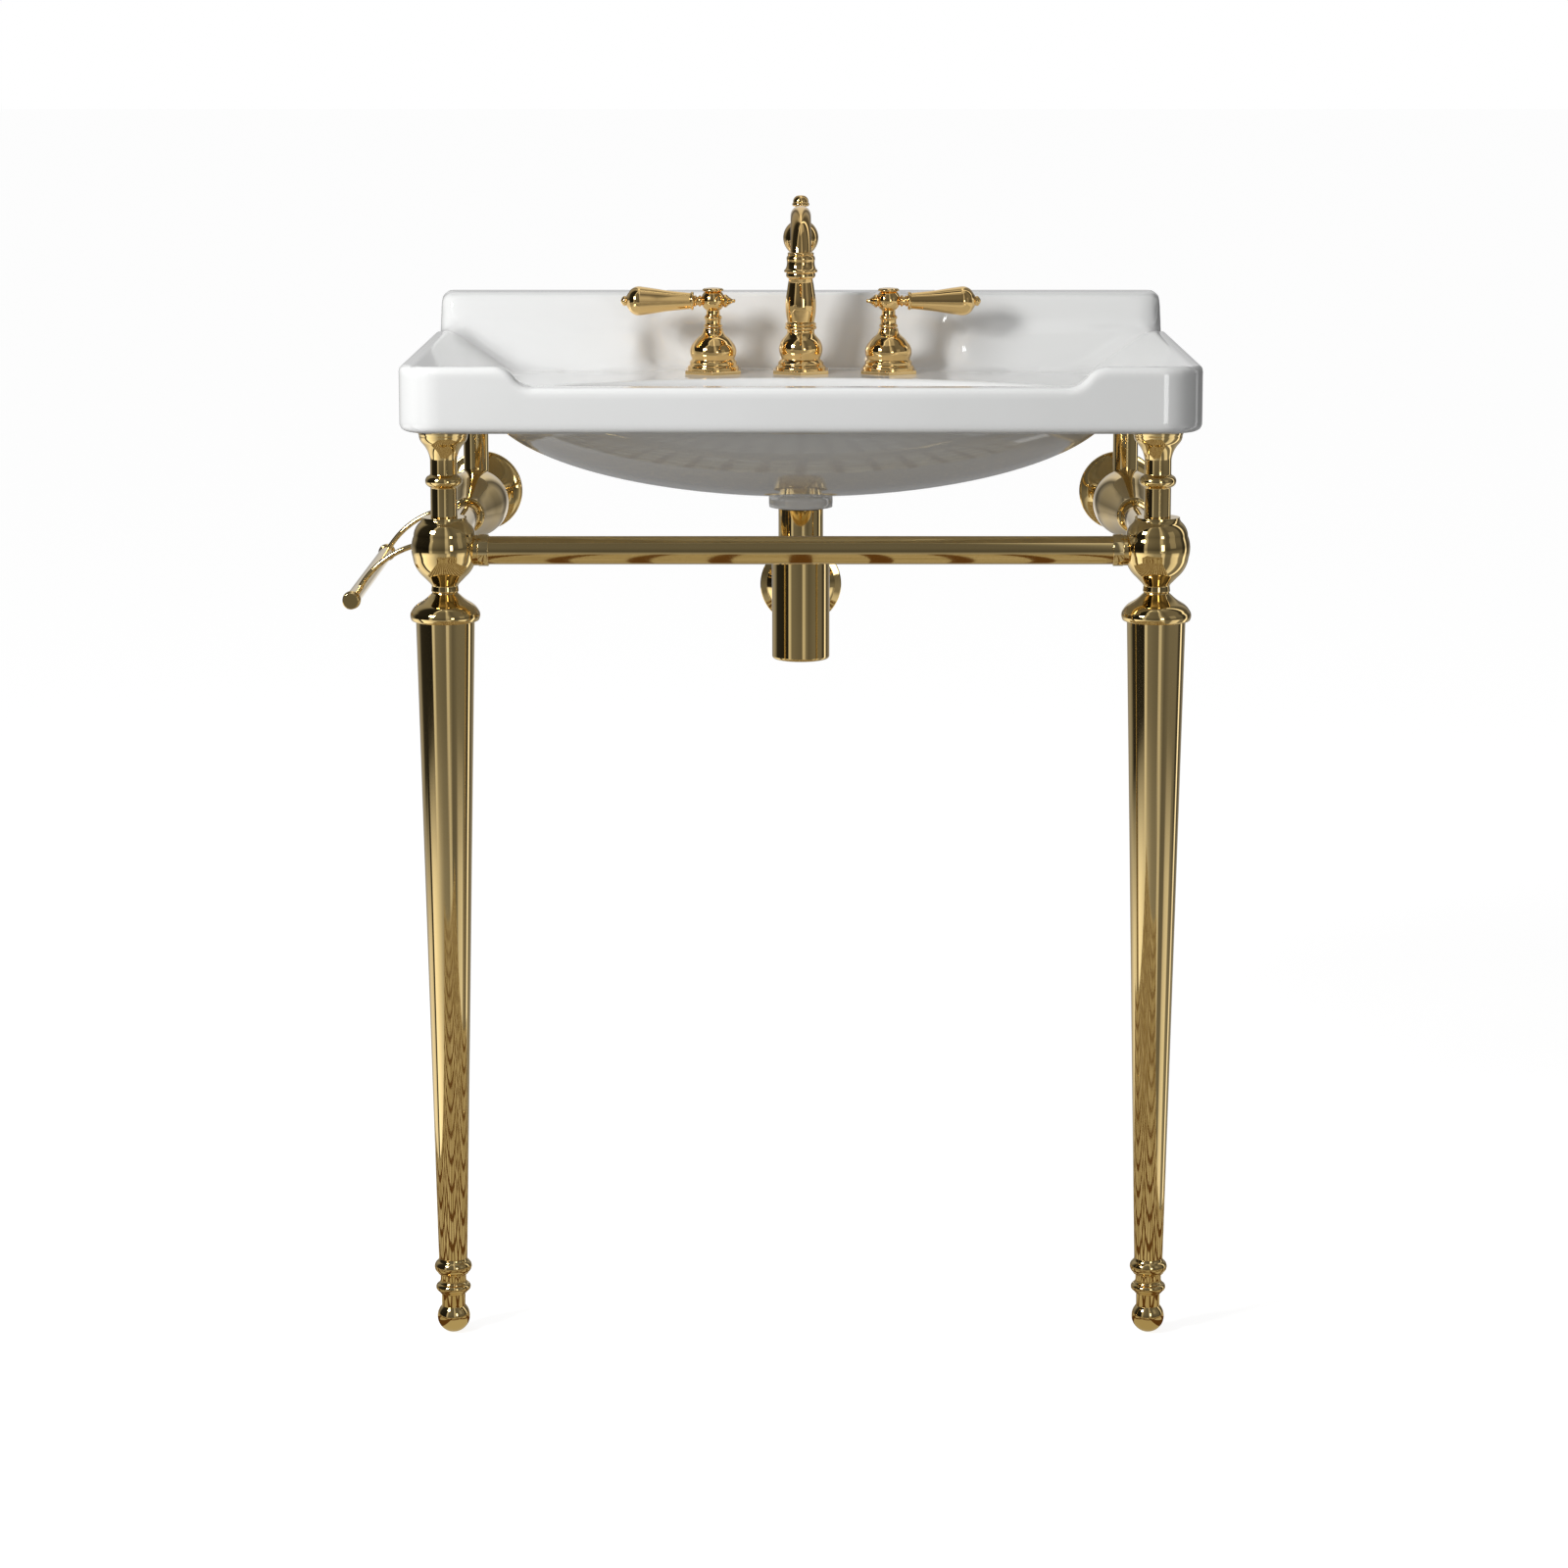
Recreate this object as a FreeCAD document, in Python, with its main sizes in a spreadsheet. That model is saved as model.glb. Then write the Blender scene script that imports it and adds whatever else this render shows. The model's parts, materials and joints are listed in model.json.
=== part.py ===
import FreeCAD, Part
import math
import os
import Sketcher
from types import SimpleNamespace
from FreeCAD import Placement, Rotation, Vector

# Console basin on two turned front legs, held to the wall at the back.
# Millimetres. The origin is midway between the basin's two wall bolts, on the wall's face.
# +X is to the right as seen from the front, +Y goes into the wall and +Z is up.
# Heights in the sheet are above the floor, and distances from the wall are positive.

SIZES = {
    # Basin: outside
    "basin_width": 700.0,
    "basin_depth": 500.0,
    "underside_height": 820.0,
    "bolt_rise": 35.0,
    "rim_rise": 40.0,
    "ledge_rise": 58.0,
    "backsplash_rise": 90.0,
    "plan_corner_radius": 38.0,
    "bottom_edge_radius": 7.0,
    "top_edge_radius": 6.0,
    "backsplash_thickness": 48.0,
    "backsplash_corner_radius": 9.5,
    "ledge_cove_radius": 17.0,
    "dip_half_width": 230.0,
    "dip_ogee_run": 35.0,
    # Basin: tray inside the rim
    "deck_thickness": 17.0,
    "ledge_width": 13.0,
    "tray_side_slope": 62.0,
    "tray_front_slope": 26.0,
    "backsplash_foot": 80.0,
    "backsplash_knee": 62.0,
    "recess_half_width": 158.0,
    "recess_splay_foot": 28.0,
    "recess_splay_top": 15.0,
    "recess_foot": 52.0,
    "recess_top": 36.0,
    # Basin: bowl, belly and waste boss
    "bowl_side_shelf": 25.0,
    "bowl_front_shelf": 32.0,
    "bowl_back_from_wall": 155.0,
    "bowl_depth": 79.0,
    "bowl_edge_radius": 6.0,
    "belly_beside_bowl": 40.0,
    "belly_before_bowl": 35.0,
    "belly_depth": 92.0,
    "belly_centre_rise": 15.0,
    "boss_radius": 29.3,
    "boss_drop": 88.0,
    "waste_hole_radius": 18.0,
    "waste_recess_radius": 33.0,
    "waste_recess_depth": 2.3,
    # Basin: holes and wall fixing
    "tap_hole_radius": 17.0,
    "tap_spacing": 84.0,
    "tap_from_wall": 95.0,
    "bolt_half_spacing": 200.0,
    "bolt_hole_radius": 6.5,
    "bolt_pocket_width": 44.0,
    "bolt_pocket_depth": 30.0,
    "bolt_pocket_rise": 56.0,
    "bolt_wall": 16.0,
    "stud_radius": 6.0,
    "stud_in_wall": 35.0,
    "stud_shank_radius": 5.0,
    "stud_out_of_wall": 34.0,
    "basin_nut_radius": 11.0,
    "basin_nut_thickness": 8.0,
    "basin_nut_flange_radius": 14.5,
    "basin_nut_flange_thickness": 2.0,
    # Clearances
    "slip": 0.2,
    "running": 0.05,
    "rest_gap": 0.3,
    "pole_flat": 0.8,
    # Waste with pop-up stopper
    "drain_flange_radius": 32.6,
    "drain_flange_thickness": 2.6,
    "drain_seat_radius": 19.8,
    "drain_seat_depth": 1.4,
    "drain_stem_radius": 17.5,
    "drain_stem_bore": 15.5,
    "drain_stem_overlap": 8.5,
    "drain_seal_thickness": 1.5,
    "drain_body_radius": 20.5,
    "drain_body_length": 33.5,
    "pivot_above_body_foot": 15.0,
    "pivot_behind_drain": 27.0,
    "pivot_boss_radius": 9.0,
    "pivot_ball_radius": 6.0,
    "pivot_rod_radius": 2.5,
    "pivot_nut_radius": 11.0,
    "pivot_nut_length": 8.5,
    "pivot_nut_mouth_radius": 4.2,
    "pivot_rod_past_drain": 6.0,
    "pivot_rod_past_strap": 8.0,
    "pivot_swing": 14.3,
    "strap_behind_pivot": 98.0,
    "strap_width": 12.0,
    "strap_thickness": 1.5,
    "strap_hole_radius": 3.6,
    "strap_below_rod": 10.0,
    "strap_bend_rise": 8.0,
    "strap_slope_rise": 14.0,
    "strap_top_length": 20.0,
    "clevis_radius": 5.0,
    "clevis_length": 12.0,
    "lift_rod_radius": 2.0,
    "lift_rod_behind_tap": 6.5,
    "lift_rod_below_deck": 107.0,
    "lift_knob_bottom": 147.8,
    "lift_knob_foot_radius": 5.5,
    "lift_knob_neck_radius": 4.2,
    "lift_knob_ring_radius": 8.2,
    "lift_knob_ring_rise": 13.0,
    "lift_knob_dome_radius": 6.5,
    "lift_knob_height": 21.7,
    "stopper_radius": 19.0,
    "stopper_thickness": 2.2,
    "stopper_crown": 2.4,
    "stopper_stem_radius": 6.0,
    "stopper_eye_radius": 3.9,
    "stopper_foot": 7.0,
    "stopper_fin_thickness": 2.0,
    "stopper_fin_height": 14.0,
    # Bottle trap
    "dip_tube_radius": 16.0,
    "dip_tube_wall": 1.5,
    "dip_tube_socket": 10.0,
    "dip_tube_above_bottom": 10.0,
    "trap_lid_thickness": 9.0,
    "trap_lid_skirt": 6.0,
    "bottle_radius": 26.4,
    "bottle_wall": 1.8,
    "bottle_length": 96.5,
    "bottle_base_thickness": 2.5,
    "bottle_edge_radius": 2.5,
    "outlet_below_bottle_top": 33.0,
    "outlet_boss_radius": 18.0,
    "outlet_boss_length": 44.0,
    "outlet_pipe_radius": 16.0,
    "outlet_pipe_wall": 1.5,
    "outlet_pipe_start": 34.0,
    "outlet_straight": 41.0,
    "outlet_bend_radius": 60.0,
    "outlet_drop": 36.0,
    "outlet_in_wall": 32.0,
    "outlet_spigot_radius": 15.7,
    "outlet_spigot_length": 30.0,
    "outlet_nut_radius": 22.0,
    "outlet_nut_length": 18.0,
    "outlet_nut_on_boss": 8.0,
    "escutcheon_radius": 40.0,
    "escutcheon_lip": 1.6,
    "escutcheon_dome_radius": 33.0,
    "escutcheon_depth": 11.0,
    # Taps
    "flange_corner_radius": 30.5,
    "flange_thickness": 3.4,
    "tier_radius": 24.0,
    "tier_top": 9.0,
    "bell_shoulder_rise": 13.0,
    "bell_radius": 21.6,
    "bell_bulge": 0.3,
    "bell_bulge_rise": 18.0,
    "bell_waist_radius": 18.7,
    "bell_waist_rise": 27.5,
    "bell_top_radius": 9.4,
    "bell_top_rise": 43.0,
    "shank_radius": 12.5,
    "valve_shoulder_rise": 25.0,
    "valve_bonnet_radius": 6.5,
    "valve_bonnet_rise": 41.0,
    "valve_bore_radius": 7.0,
    "valve_below_deck": 90.0,
    "inlet_radius": 10.4,
    "inlet_length": 15.0,
    "inlet_bore_depth": 55.0,
    "port_below_deck": 60.0,
    "port_radius": 7.0,
    "port_reach": 18.0,
    "port_forward": 5.0,
    "stem_radius": 4.0,
    "stem_bottom_rise": 10.3,
    "stem_top_rise": 62.0,
    "lever_ring_radius": 8.7,
    "lever_ring_width": 3.6,
    "lever_neck_radius": 7.4,
    "lever_neck_length": 4.8,
    "lever_bead_radius": 8.3,
    "lever_bead_width": 3.2,
    "lever_throat_radius": 6.5,
    "lever_ball_radius": 11.5,
    "lever_ball_rise": 69.5,
    "lever_axis_rise": 68.9,
    "lever_ball_flat": 9.0,
    "lever_cap_radius": 10.0,
    "lever_cap_thickness": 3.2,
    "lever_tail_reach": 21.5,
    "lever_tail_radius": 6.3,
    "lever_tip_radius": 1.2,
    "lever_stalk_radius": 4.5,
    "lever_collar_start": 18.5,
    "lever_collar_radius": 8.6,
    "lever_collar_width": 3.0,
    "lever_grip_start_radius": 8.0,
    "lever_grip_mid_radius": 10.0,
    "lever_grip_mid_reach": 45.0,
    "lever_grip_radius": 13.7,
    "lever_grip_reach": 68.5,
    "lever_grip_end_radius": 5.5,
    "lever_grip_end_reach": 82.6,
    "lever_bead_end_radius": 4.7,
    "lever_reach": 88.4,
    "tap_nut_radius": 20.0,
    "tap_nut_thickness": 10.0,
    "mixer_tube_radius": 5.5,
    # Spout
    "spout_tier_radius": 22.8,
    "spout_tier_top": 10.5,
    "spout_shoulder_radius": 18.0,
    "spout_shoulder_rise": 14.0,
    "spout_bulb_radius": 20.3,
    "spout_bulb_rise": 25.0,
    "spout_base_top_radius": 14.0,
    "spout_base_top": 38.6,
    "spout_shank_bore": 10.5,
    "spout_shank_below_deck": 45.0,
    "spout_ring_radius": 15.2,
    "spout_ring_width": 3.7,
    "spout_column_radius": 13.2,
    "spout_column_swell_radius": 13.9,
    "spout_column_swell_rise": 64.0,
    "spout_column_top_radius": 11.0,
    "spout_column_top_rise": 86.0,
    "spout_neck_radius": 9.6,
    "spout_neck_rise": 96.0,
    "spout_ball_radius": 16.8,
    "spout_ball_rise": 130.5,
    "riser_radius": 4.0,
    "riser_top_rise": 50.0,
    "waterway_radius": 3.0,
    "spout_tube_radius": 9.6,
    "spout_tube_bore": 6.5,
    "spout_reach": 115.0,
    "spout_crown_rise": 153.8,
    "spout_drop_radius": 45.0,
    "outlet_ring_radius": 12.0,
    "outlet_ring_rise": 121.0,
    "outlet_bell_radius": 13.0,
    "outlet_lip_radius": 15.4,
    "outlet_lip_rise": 104.0,
    "aerator_radius": 12.4,
    "aerator_tip_radius": 10.8,
    "aerator_bore": 8.5,
    "aerator_step_rise": 99.0,
    "aerator_tip_rise": 94.6,
    "aerator_seat": 5.0,
    # Legs
    "leg_inset": 36.5,
    "leg_setback": 56.0,
    "foot_ball_radius": 14.6,
    "foot_pad_radius": 4.0,
    "foot_neck_radius": 10.6,
    "foot_neck_end": 36.0,
    "foot_ring_radius": 15.5,
    "foot_ring_width": 12.0,
    "foot_waist_radius": 11.5,
    "foot_waist_length": 6.4,
    "foot_crown_radius": 16.7,
    "foot_crown_width": 14.4,
    "shaft_foot_radius": 12.8,
    "shaft_top_radius": 25.9,
    "leg_collar_height": 25.5,
    "leg_collar_foot_radius": 29.0,
    "leg_collar_radius": 30.7,
    "leg_collar_lip": 4.0,
    "leg_collar_waist_radius": 19.6,
    "leg_collar_waist_rise": 18.5,
    "leg_collar_top_radius": 13.6,
    "hub_drop": 37.0,
    "hub_rise": 29.6,
    "hub_foot_radius": 14.2,
    "hub_foot_length": 4.0,
    "hub_swell_radius": 22.4,
    "hub_swell_drop": 20.0,
    "hub_radius": 29.1,
    "hub_widest_rise": 2.0,
    "hub_shoulder_radius": 23.9,
    "hub_shoulder_rise": 23.0,
    "hub_top_radius": 19.9,
    "hub_top_edge": 2.6,
    "post_neck_radius": 11.8,
    "post_ring_radius": 16.2,
    "post_ring_width": 11.0,
    "post_ring_below_top": 52.0,
    "flare_height": 26.0,
    "flare_waist_rise": 9.0,
    "flare_waist_radius": 16.9,
    "flare_mid_rise": 17.0,
    "flare_mid_radius": 21.2,
    "flare_top_radius": 22.0,
    "leg_stud_radius": 5.0,
    "leg_stud_length": 200.0,
    "leg_stud_above_rail": 88.0,
    # Rails, rear brackets and posts
    "rail_below_basin": 108.0,
    "rail_radius": 12.5,
    "rail_socket_reach": 14.0,
    "rail_boss_reach": 29.8,
    "rail_boss_radius": 13.5,
    "rail_collar_radius": 14.0,
    "rail_collar_end": 39.0,
    "rear_post_from_wall": 81.0,
    "rear_post_radius": 12.0,
    "rear_post_depth_in_bracket": 10.0,
    "bracket_front": 201.0,
    "bracket_front_radius": 17.0,
    "bracket_front_ring": 7.0,
    "bracket_neck_radius": 14.5,
    "bracket_neck_from_wall": 188.0,
    "bracket_cone_radius": 24.0,
    "bracket_cone_from_wall": 148.0,
    "bracket_radius": 30.0,
    "bracket_bulge_from_wall": 82.0,
    "bracket_waist_radius": 20.0,
    "bracket_waist_from_wall": 44.0,
    "bracket_root_radius": 17.0,
    "bracket_root_length": 32.0,
    "bracket_socket_depth": 16.0,
    "wall_flange_radius": 39.0,
    "wall_flange_lip": 3.0,
    "wall_flange_dome_radius": 33.0,
    "wall_flange_depth": 13.0,
    # Towel bar
    "towel_bar_radius": 6.5,
    "towel_bar_length": 336.0,
    "towel_bar_rear_from_wall": 66.0,
    "towel_cap_radius": 7.4,
    "towel_cap_length": 6.0,
    "towel_ring_radius": 8.2,
    "towel_ring_width": 5.0,
    "front_arm_from_wall": 340.0,
    "arm_radius": 2.5,
    "arm_bend_radius": 82.0,
    "arm_centre_outboard": 15.0,
    "arm_centre_below_rail": 89.0,
    "arm_turn": 63.0,
    "clamp_radius": 15.6,
    "clamp_width": 14.0,
    "clamp_boss_radius": 4.5,
    "clamp_boss_reach": 18.0,
}

CUT_PAST = 1.0
MID_OF_QUARTER = 1.0 - math.sqrt(0.5)
SIN_60 = math.sqrt(0.75)
LEFT, RIGHT = -1, 1
SIDES = {"left": LEFT, "right": RIGHT}
TAPS = {"hot": LEFT, "cold": RIGHT}
TO_RIGHT = Rotation(Vector(0, 0, 1), Vector(1, 0, 0))
TO_WALL = Rotation(Vector(0, 0, 1), Vector(0, 1, 0))
TO_FRONT = Rotation(Vector(0, 0, 1), Vector(0, -1, 0))

doc = FreeCAD.newDocument("console_basin")
sheet = doc.addObject("Spreadsheet::Sheet", "Sizes")
nodes = {}


class Size(float):
    """A length or angle that also keeps how it follows from the sheet's cells."""

    def __new__(cls, value, text):
        number = super().__new__(cls, value)
        number.text = text
        return number

    def __add__(self, other):
        return joined(self, "+", other, float(self) + float(other))

    def __radd__(self, other):
        return joined(other, "+", self, float(other) + float(self))

    def __sub__(self, other):
        return joined(self, "-", other, float(self) - float(other))

    def __rsub__(self, other):
        return joined(other, "-", self, float(other) - float(self))

    def __mul__(self, other):
        return joined(self, "*", other, float(self) * float(other))

    def __rmul__(self, other):
        return joined(other, "*", self, float(other) * float(self))

    def __truediv__(self, other):
        return joined(self, "/", other, float(self) / float(other))

    def __neg__(self):
        return joined(0, "-", self, -float(self))


def words(value):
    """The text of a number in an expression."""
    if isinstance(value, Size):
        return value.text
    return repr(round(float(value), 9))


def joined(left, sign, right, value):
    return Size(value, f"({words(left)} {sign} {words(right)})")


def root(value):
    return Size(math.sqrt(value), f"sqrt({words(value)})")


def sine(angle):
    return Size(math.sin(math.radians(angle)), f"sin({words(angle)} * 1 deg)")


def cosine(angle):
    return Size(math.cos(math.radians(angle)), f"cos({words(angle)} * 1 deg)")


def fill_sheet():
    """One row per driving size: its name, then its number under the same alias."""
    for row, (name, value) in enumerate(SIZES.items(), start=1):
        sheet.set(f"A{row}", name)
        sheet.set(f"B{row}", str(value))
        sheet.setAlias(f"B{row}", name)
    doc.recompute()
    return SimpleNamespace(**{name: Size(value, f"Sizes.{name}") for name, value in SIZES.items()})


s = fill_sheet()


# Shared building steps


def bind(thing, field, value):
    """Give a property its number, and its expression where it follows the sheet."""
    if isinstance(value, Size):
        thing.setExpression(field, value.text)
    else:
        setattr(thing, field, float(value))


def place(thing, x, from_wall, height, turn=Rotation()):
    """Put an object at x, at a distance from the wall and at a height above the floor."""
    where = {"x": x, "y": 0 - from_wall, "z": height - bolt_height}
    thing.Placement = Placement(Vector(*[float(v) for v in where.values()]), turn)
    for axis, value in where.items():
        if isinstance(value, Size):
            thing.setExpression(f"Placement.Base.{axis}", value.text)
    return thing


def keep(label, thing):
    """Name an object as one of the part's pieces."""
    thing.Label = label
    nodes[label] = thing
    return thing


def new_body(name):
    body = doc.addObject("PartDesign::Body", name)
    body.Label = name
    return body


def sketch_on(body, role, start=0.0, rise=0.0):
    """A sketch on one of the body's own planes, moved along its normal and up its own Y."""
    plane = [p for p in body.Origin.OriginFeatures if p.Role == role][0]
    sketch = body.newObject("Sketcher::SketchObject", "sketch")
    sketch.AttachmentSupport = [(plane, "")]
    sketch.MapMode = "FlatFace"
    sketch.AttachmentOffset = Placement(Vector(0, float(rise), float(start)), Rotation())
    for axis, value in (("z", start), ("y", rise)):
        if isinstance(value, Size):
            sketch.setExpression(f"AttachmentOffset.Base.{axis}", value.text)
    return sketch


def fix(sketch, kind, value, *points):
    number = sketch.addConstraint(Sketcher.Constraint(kind, *points, float(value)))
    if isinstance(value, Size):
        sketch.setExpression(f"Constraints[{number}]", value.text)


def draw_step(sketch, before, point):
    """The line or arc from before to point, with the numbers of its start and its end."""
    first = Vector(float(before[-2]), float(before[-1]), 0)
    last = Vector(float(point[-2]), float(point[-1]), 0)
    if len(point) == 2:
        return sketch.addGeometry(Part.LineSegment(first, last)), 1, 2
    middle = Vector(float(point[0]), float(point[1]), 0)
    # A sketch keeps its arcs anticlockwise, so a clockwise one is drawn from its far end.
    anticlockwise = (middle - first).cross(last - first).z > 0
    arc = Part.Arc(first, middle, last) if anticlockwise else Part.Arc(last, middle, first)
    edge = sketch.addGeometry(arc)
    guide = sketch.addGeometry(Part.Point(middle), True)
    fix(sketch, "DistanceX", point[0], -1, 1, guide, 1)
    fix(sketch, "DistanceY", point[1], -1, 1, guide, 1)
    sketch.addConstraint(Sketcher.Constraint("PointOnObject", guide, 1, edge))
    return (edge, 1, 2) if anticlockwise else (edge, 2, 1)


def draw_outline(sketch, points):
    """A closed outline. A point is (x, y), or (mid x, mid y, x, y) at the end of an arc."""
    steps = [draw_step(sketch, points[index - 1], point) for index, point in enumerate(points)]
    for index, point in enumerate(points):
        edge, _, end = steps[index]
        following, start, _ = steps[(index + 1) % len(points)]
        sketch.addConstraint(Sketcher.Constraint("Coincident", edge, end, following, start))
        fix(sketch, "DistanceX", point[-2], -1, 1, edge, end)
        fix(sketch, "DistanceY", point[-1], -1, 1, edge, end)


def draw_circle(sketch, x, y, radius):
    centre = Vector(float(x), float(y), 0)
    circle = sketch.addGeometry(Part.Circle(centre, Vector(0, 0, 1), float(radius)))
    fix(sketch, "DistanceX", x, -1, 1, circle, 3)
    fix(sketch, "DistanceY", y, -1, 1, circle, 3)
    fix(sketch, "Radius", radius, circle)


def extrude(body, role, draw, start, length, cut=False):
    """Pad or pocket what draw makes, from start, along the plane's normal."""
    sketch = sketch_on(body, role, start)
    draw(sketch)
    feature = body.newObject("PartDesign::Pocket" if cut else "PartDesign::Pad", "extrusion")
    feature.Profile = sketch
    feature.Reversed = cut
    bind(feature, "Length", length)
    return feature


def prism(body, role, points, start, length, cut=False):
    return extrude(body, role, lambda sketch: draw_outline(sketch, points), start, length, cut)


def disc(body, role, x, y, radius, start, length, cut=False):
    return extrude(body, role, lambda sketch: draw_circle(sketch, x, y, radius), start, length, cut)


def revolve(body, points, axis="V_Axis", rise=0.0):
    """Turn an outline in the XZ plane about the upright axis, or about a level one."""
    sketch = sketch_on(body, "XZ_Plane", 0.0, rise)
    draw_outline(sketch, points)
    feature = body.newObject("PartDesign::Revolution", "revolution")
    feature.Profile = sketch
    feature.ReferenceAxis = (sketch, [axis])
    feature.Angle = 360
    return feature


def turned(name, points):
    """A body turned about its Z axis from points of (radius, height)."""
    body = new_body(name)
    revolve(body, points)
    return body


def ring(inner, outer, length):
    return [(inner, 0.0), (outer, 0.0), (outer, length), (inner, length)]


def bead(radius, neck, bottom, width):
    """The end of a half-round ring that starts at the neck and returns to it."""
    return (radius, bottom + width / 2, neck, bottom + width)


def hexagon(radius):
    """Six corners about the origin, with a flat side to the front."""
    half, deep = radius / 2, radius * SIN_60
    return [(radius, 0.0), (half, deep), (-half, deep), (-radius, 0.0), (-half, -deep), (half, -deep)]


def loft_cut(body, sections):
    """Cut the straight-sided space between two level outlines, given as (height, points)."""
    sketches = []
    for height, points in sections:
        sketch = sketch_on(body, "XY_Plane", height)
        draw_outline(sketch, points)
        sketches.append(sketch)
    feature = body.newObject("PartDesign::SubtractiveLoft", "loft_cut")
    feature.Profile = sketches[0]
    feature.Sections = sketches[1:]
    feature.Ruled = True
    return feature


def ellipsoid(body, kind, centre, half_length, half_width, depth):
    feature = body.newObject(f"PartDesign::{kind}Ellipsoid", "ellipsoid")
    bind(feature, "Radius1", depth)
    bind(feature, "Radius2", half_length)
    bind(feature, "Radius3", half_width)
    feature.Placement = Placement(Vector(*[float(v) for v in centre]), Rotation())
    for axis, value in zip("xyz", centre):
        if isinstance(value, Size):
            feature.setExpression(f"Placement.Base.{axis}", value.text)
    return feature


def round_edges(body, radius, wanted):
    """Fillet the edges of the body so far for which wanted(edge) is true."""
    doc.recompute()
    base = body.Tip
    names = [f"Edge{i}" for i, edge in enumerate(base.Shape.Edges, start=1) if wanted(edge)]
    feature = body.newObject("PartDesign::Fillet", "fillet")
    feature.Base = (base, names)
    bind(feature, "Radius", radius)
    return feature


def straight_rod(name, radius, length):
    rod = doc.addObject("Part::Cylinder", name)
    bind(rod, "Radius", radius)
    bind(rod, "Height", length)
    return rod


def group(label, members):
    """Identical pieces that share one node, as separate solids."""
    compound = doc.addObject("Part::Compound", label)
    compound.Links = members
    return keep(label, compound)


def subtract(name, base, tool):
    cut = doc.addObject("Part::Cut", name)
    cut.Base = base
    cut.Tool = tool
    return cut


# Heights and places that several pieces share

bolt_height = s.underside_height + s.bolt_rise
rail_height = s.underside_height - s.rail_below_basin
leg_x = s.basin_width / 2 - s.leg_inset
leg_from_wall = s.basin_depth - s.leg_setback
deck_height = s.underside_height + s.deck_thickness
bowl_half_length = s.basin_width / 2 - s.ledge_width - s.tray_side_slope - s.bowl_side_shelf
bowl_front = s.basin_depth - s.ledge_width - s.tray_front_slope - s.bowl_front_shelf
bowl_half_width = (bowl_front - s.bowl_back_from_wall) / 2
bowl_from_wall = s.bowl_back_from_wall + bowl_half_width
belly_half_length = bowl_half_length + s.belly_beside_bowl
belly_half_width = bowl_half_width + s.belly_before_bowl
waste_floor_rise = s.deck_thickness - s.bowl_depth - s.waste_recess_depth
boss_height = s.underside_height - s.boss_drop
drain_body_top = boss_height - s.drain_seal_thickness
drain_body_foot = drain_body_top - s.drain_body_length
pivot_height = drain_body_foot + s.pivot_above_body_foot
pivot_from_wall = bowl_from_wall - s.pivot_behind_drain
strap_from_wall = pivot_from_wall - s.strap_behind_pivot
rest_slope = sine(s.pivot_swing / 2) / cosine(s.pivot_swing / 2)
strap_hole_height = pivot_height - s.strap_behind_pivot * rest_slope
stopper_eye_height = pivot_height + s.pivot_behind_drain * rest_slope
lift_rod_from_wall = s.tap_from_wall - s.lift_rod_behind_tap
lift_rod_foot = deck_height - s.lift_rod_below_deck
bottle_top = drain_body_foot - s.trap_lid_thickness
bottle_foot = bottle_top - s.bottle_length
outlet_height = bottle_top - s.outlet_below_bottle_top
wall_waste_height = outlet_height - s.outlet_drop
shaft_top = rail_height - s.hub_drop - s.leg_collar_height
foot_height = (
    s.foot_neck_end + s.foot_ring_width + s.foot_waist_length + s.foot_crown_width
)
foot_pad_rise = s.foot_ball_radius - root(
    s.foot_ball_radius * s.foot_ball_radius - s.foot_pad_radius * s.foot_pad_radius
)
arm_centre_x = -(leg_x + s.arm_centre_outboard)
arm_centre_height = rail_height - s.arm_centre_below_rail
towel_bar_x = arm_centre_x - s.arm_bend_radius * sine(s.arm_turn)
towel_bar_height = arm_centre_height + s.arm_bend_radius * cosine(s.arm_turn)


# Basin


def basin_plan():
    """The plan outline: square at the wall, rounded at the two front corners."""
    half, deep, radius = s.basin_width / 2, s.basin_depth, s.plan_corner_radius
    bow = radius * MID_OF_QUARTER
    return [
        (-half, 0.0),
        (half, 0.0),
        (half, radius - deep),
        (half - bow, bow - deep, half - radius, -deep),
        (radius - half, -deep),
        (bow - half, bow - deep, -half, radius - deep),
    ]


def ogee_sag(run, rise):
    """How far an arc that starts level has dropped at half its run."""
    radius = (run * run + rise * rise) / (2 * rise)
    return radius - root(radius * radius - run * run / 4)


def cut_ledges(body):
    """Lower everything in front of the backsplash to the ledges, with a cove at its foot."""
    wall, cove = s.backsplash_thickness, s.ledge_cove_radius
    bow = cove * MID_OF_QUARTER
    top = s.backsplash_rise + s.belly_depth
    front = -s.basin_depth - CUT_PAST
    profile = [
        (front, s.ledge_rise),
        (-(wall + cove), s.ledge_rise),
        (-(wall + bow), s.ledge_rise + bow, -wall, s.ledge_rise + cove),
        (-wall, top),
        (front, top),
    ]
    half = s.basin_width / 2 + CUT_PAST
    prism(body, "YZ_Plane", profile, -half, half * 2, cut=True)


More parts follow.
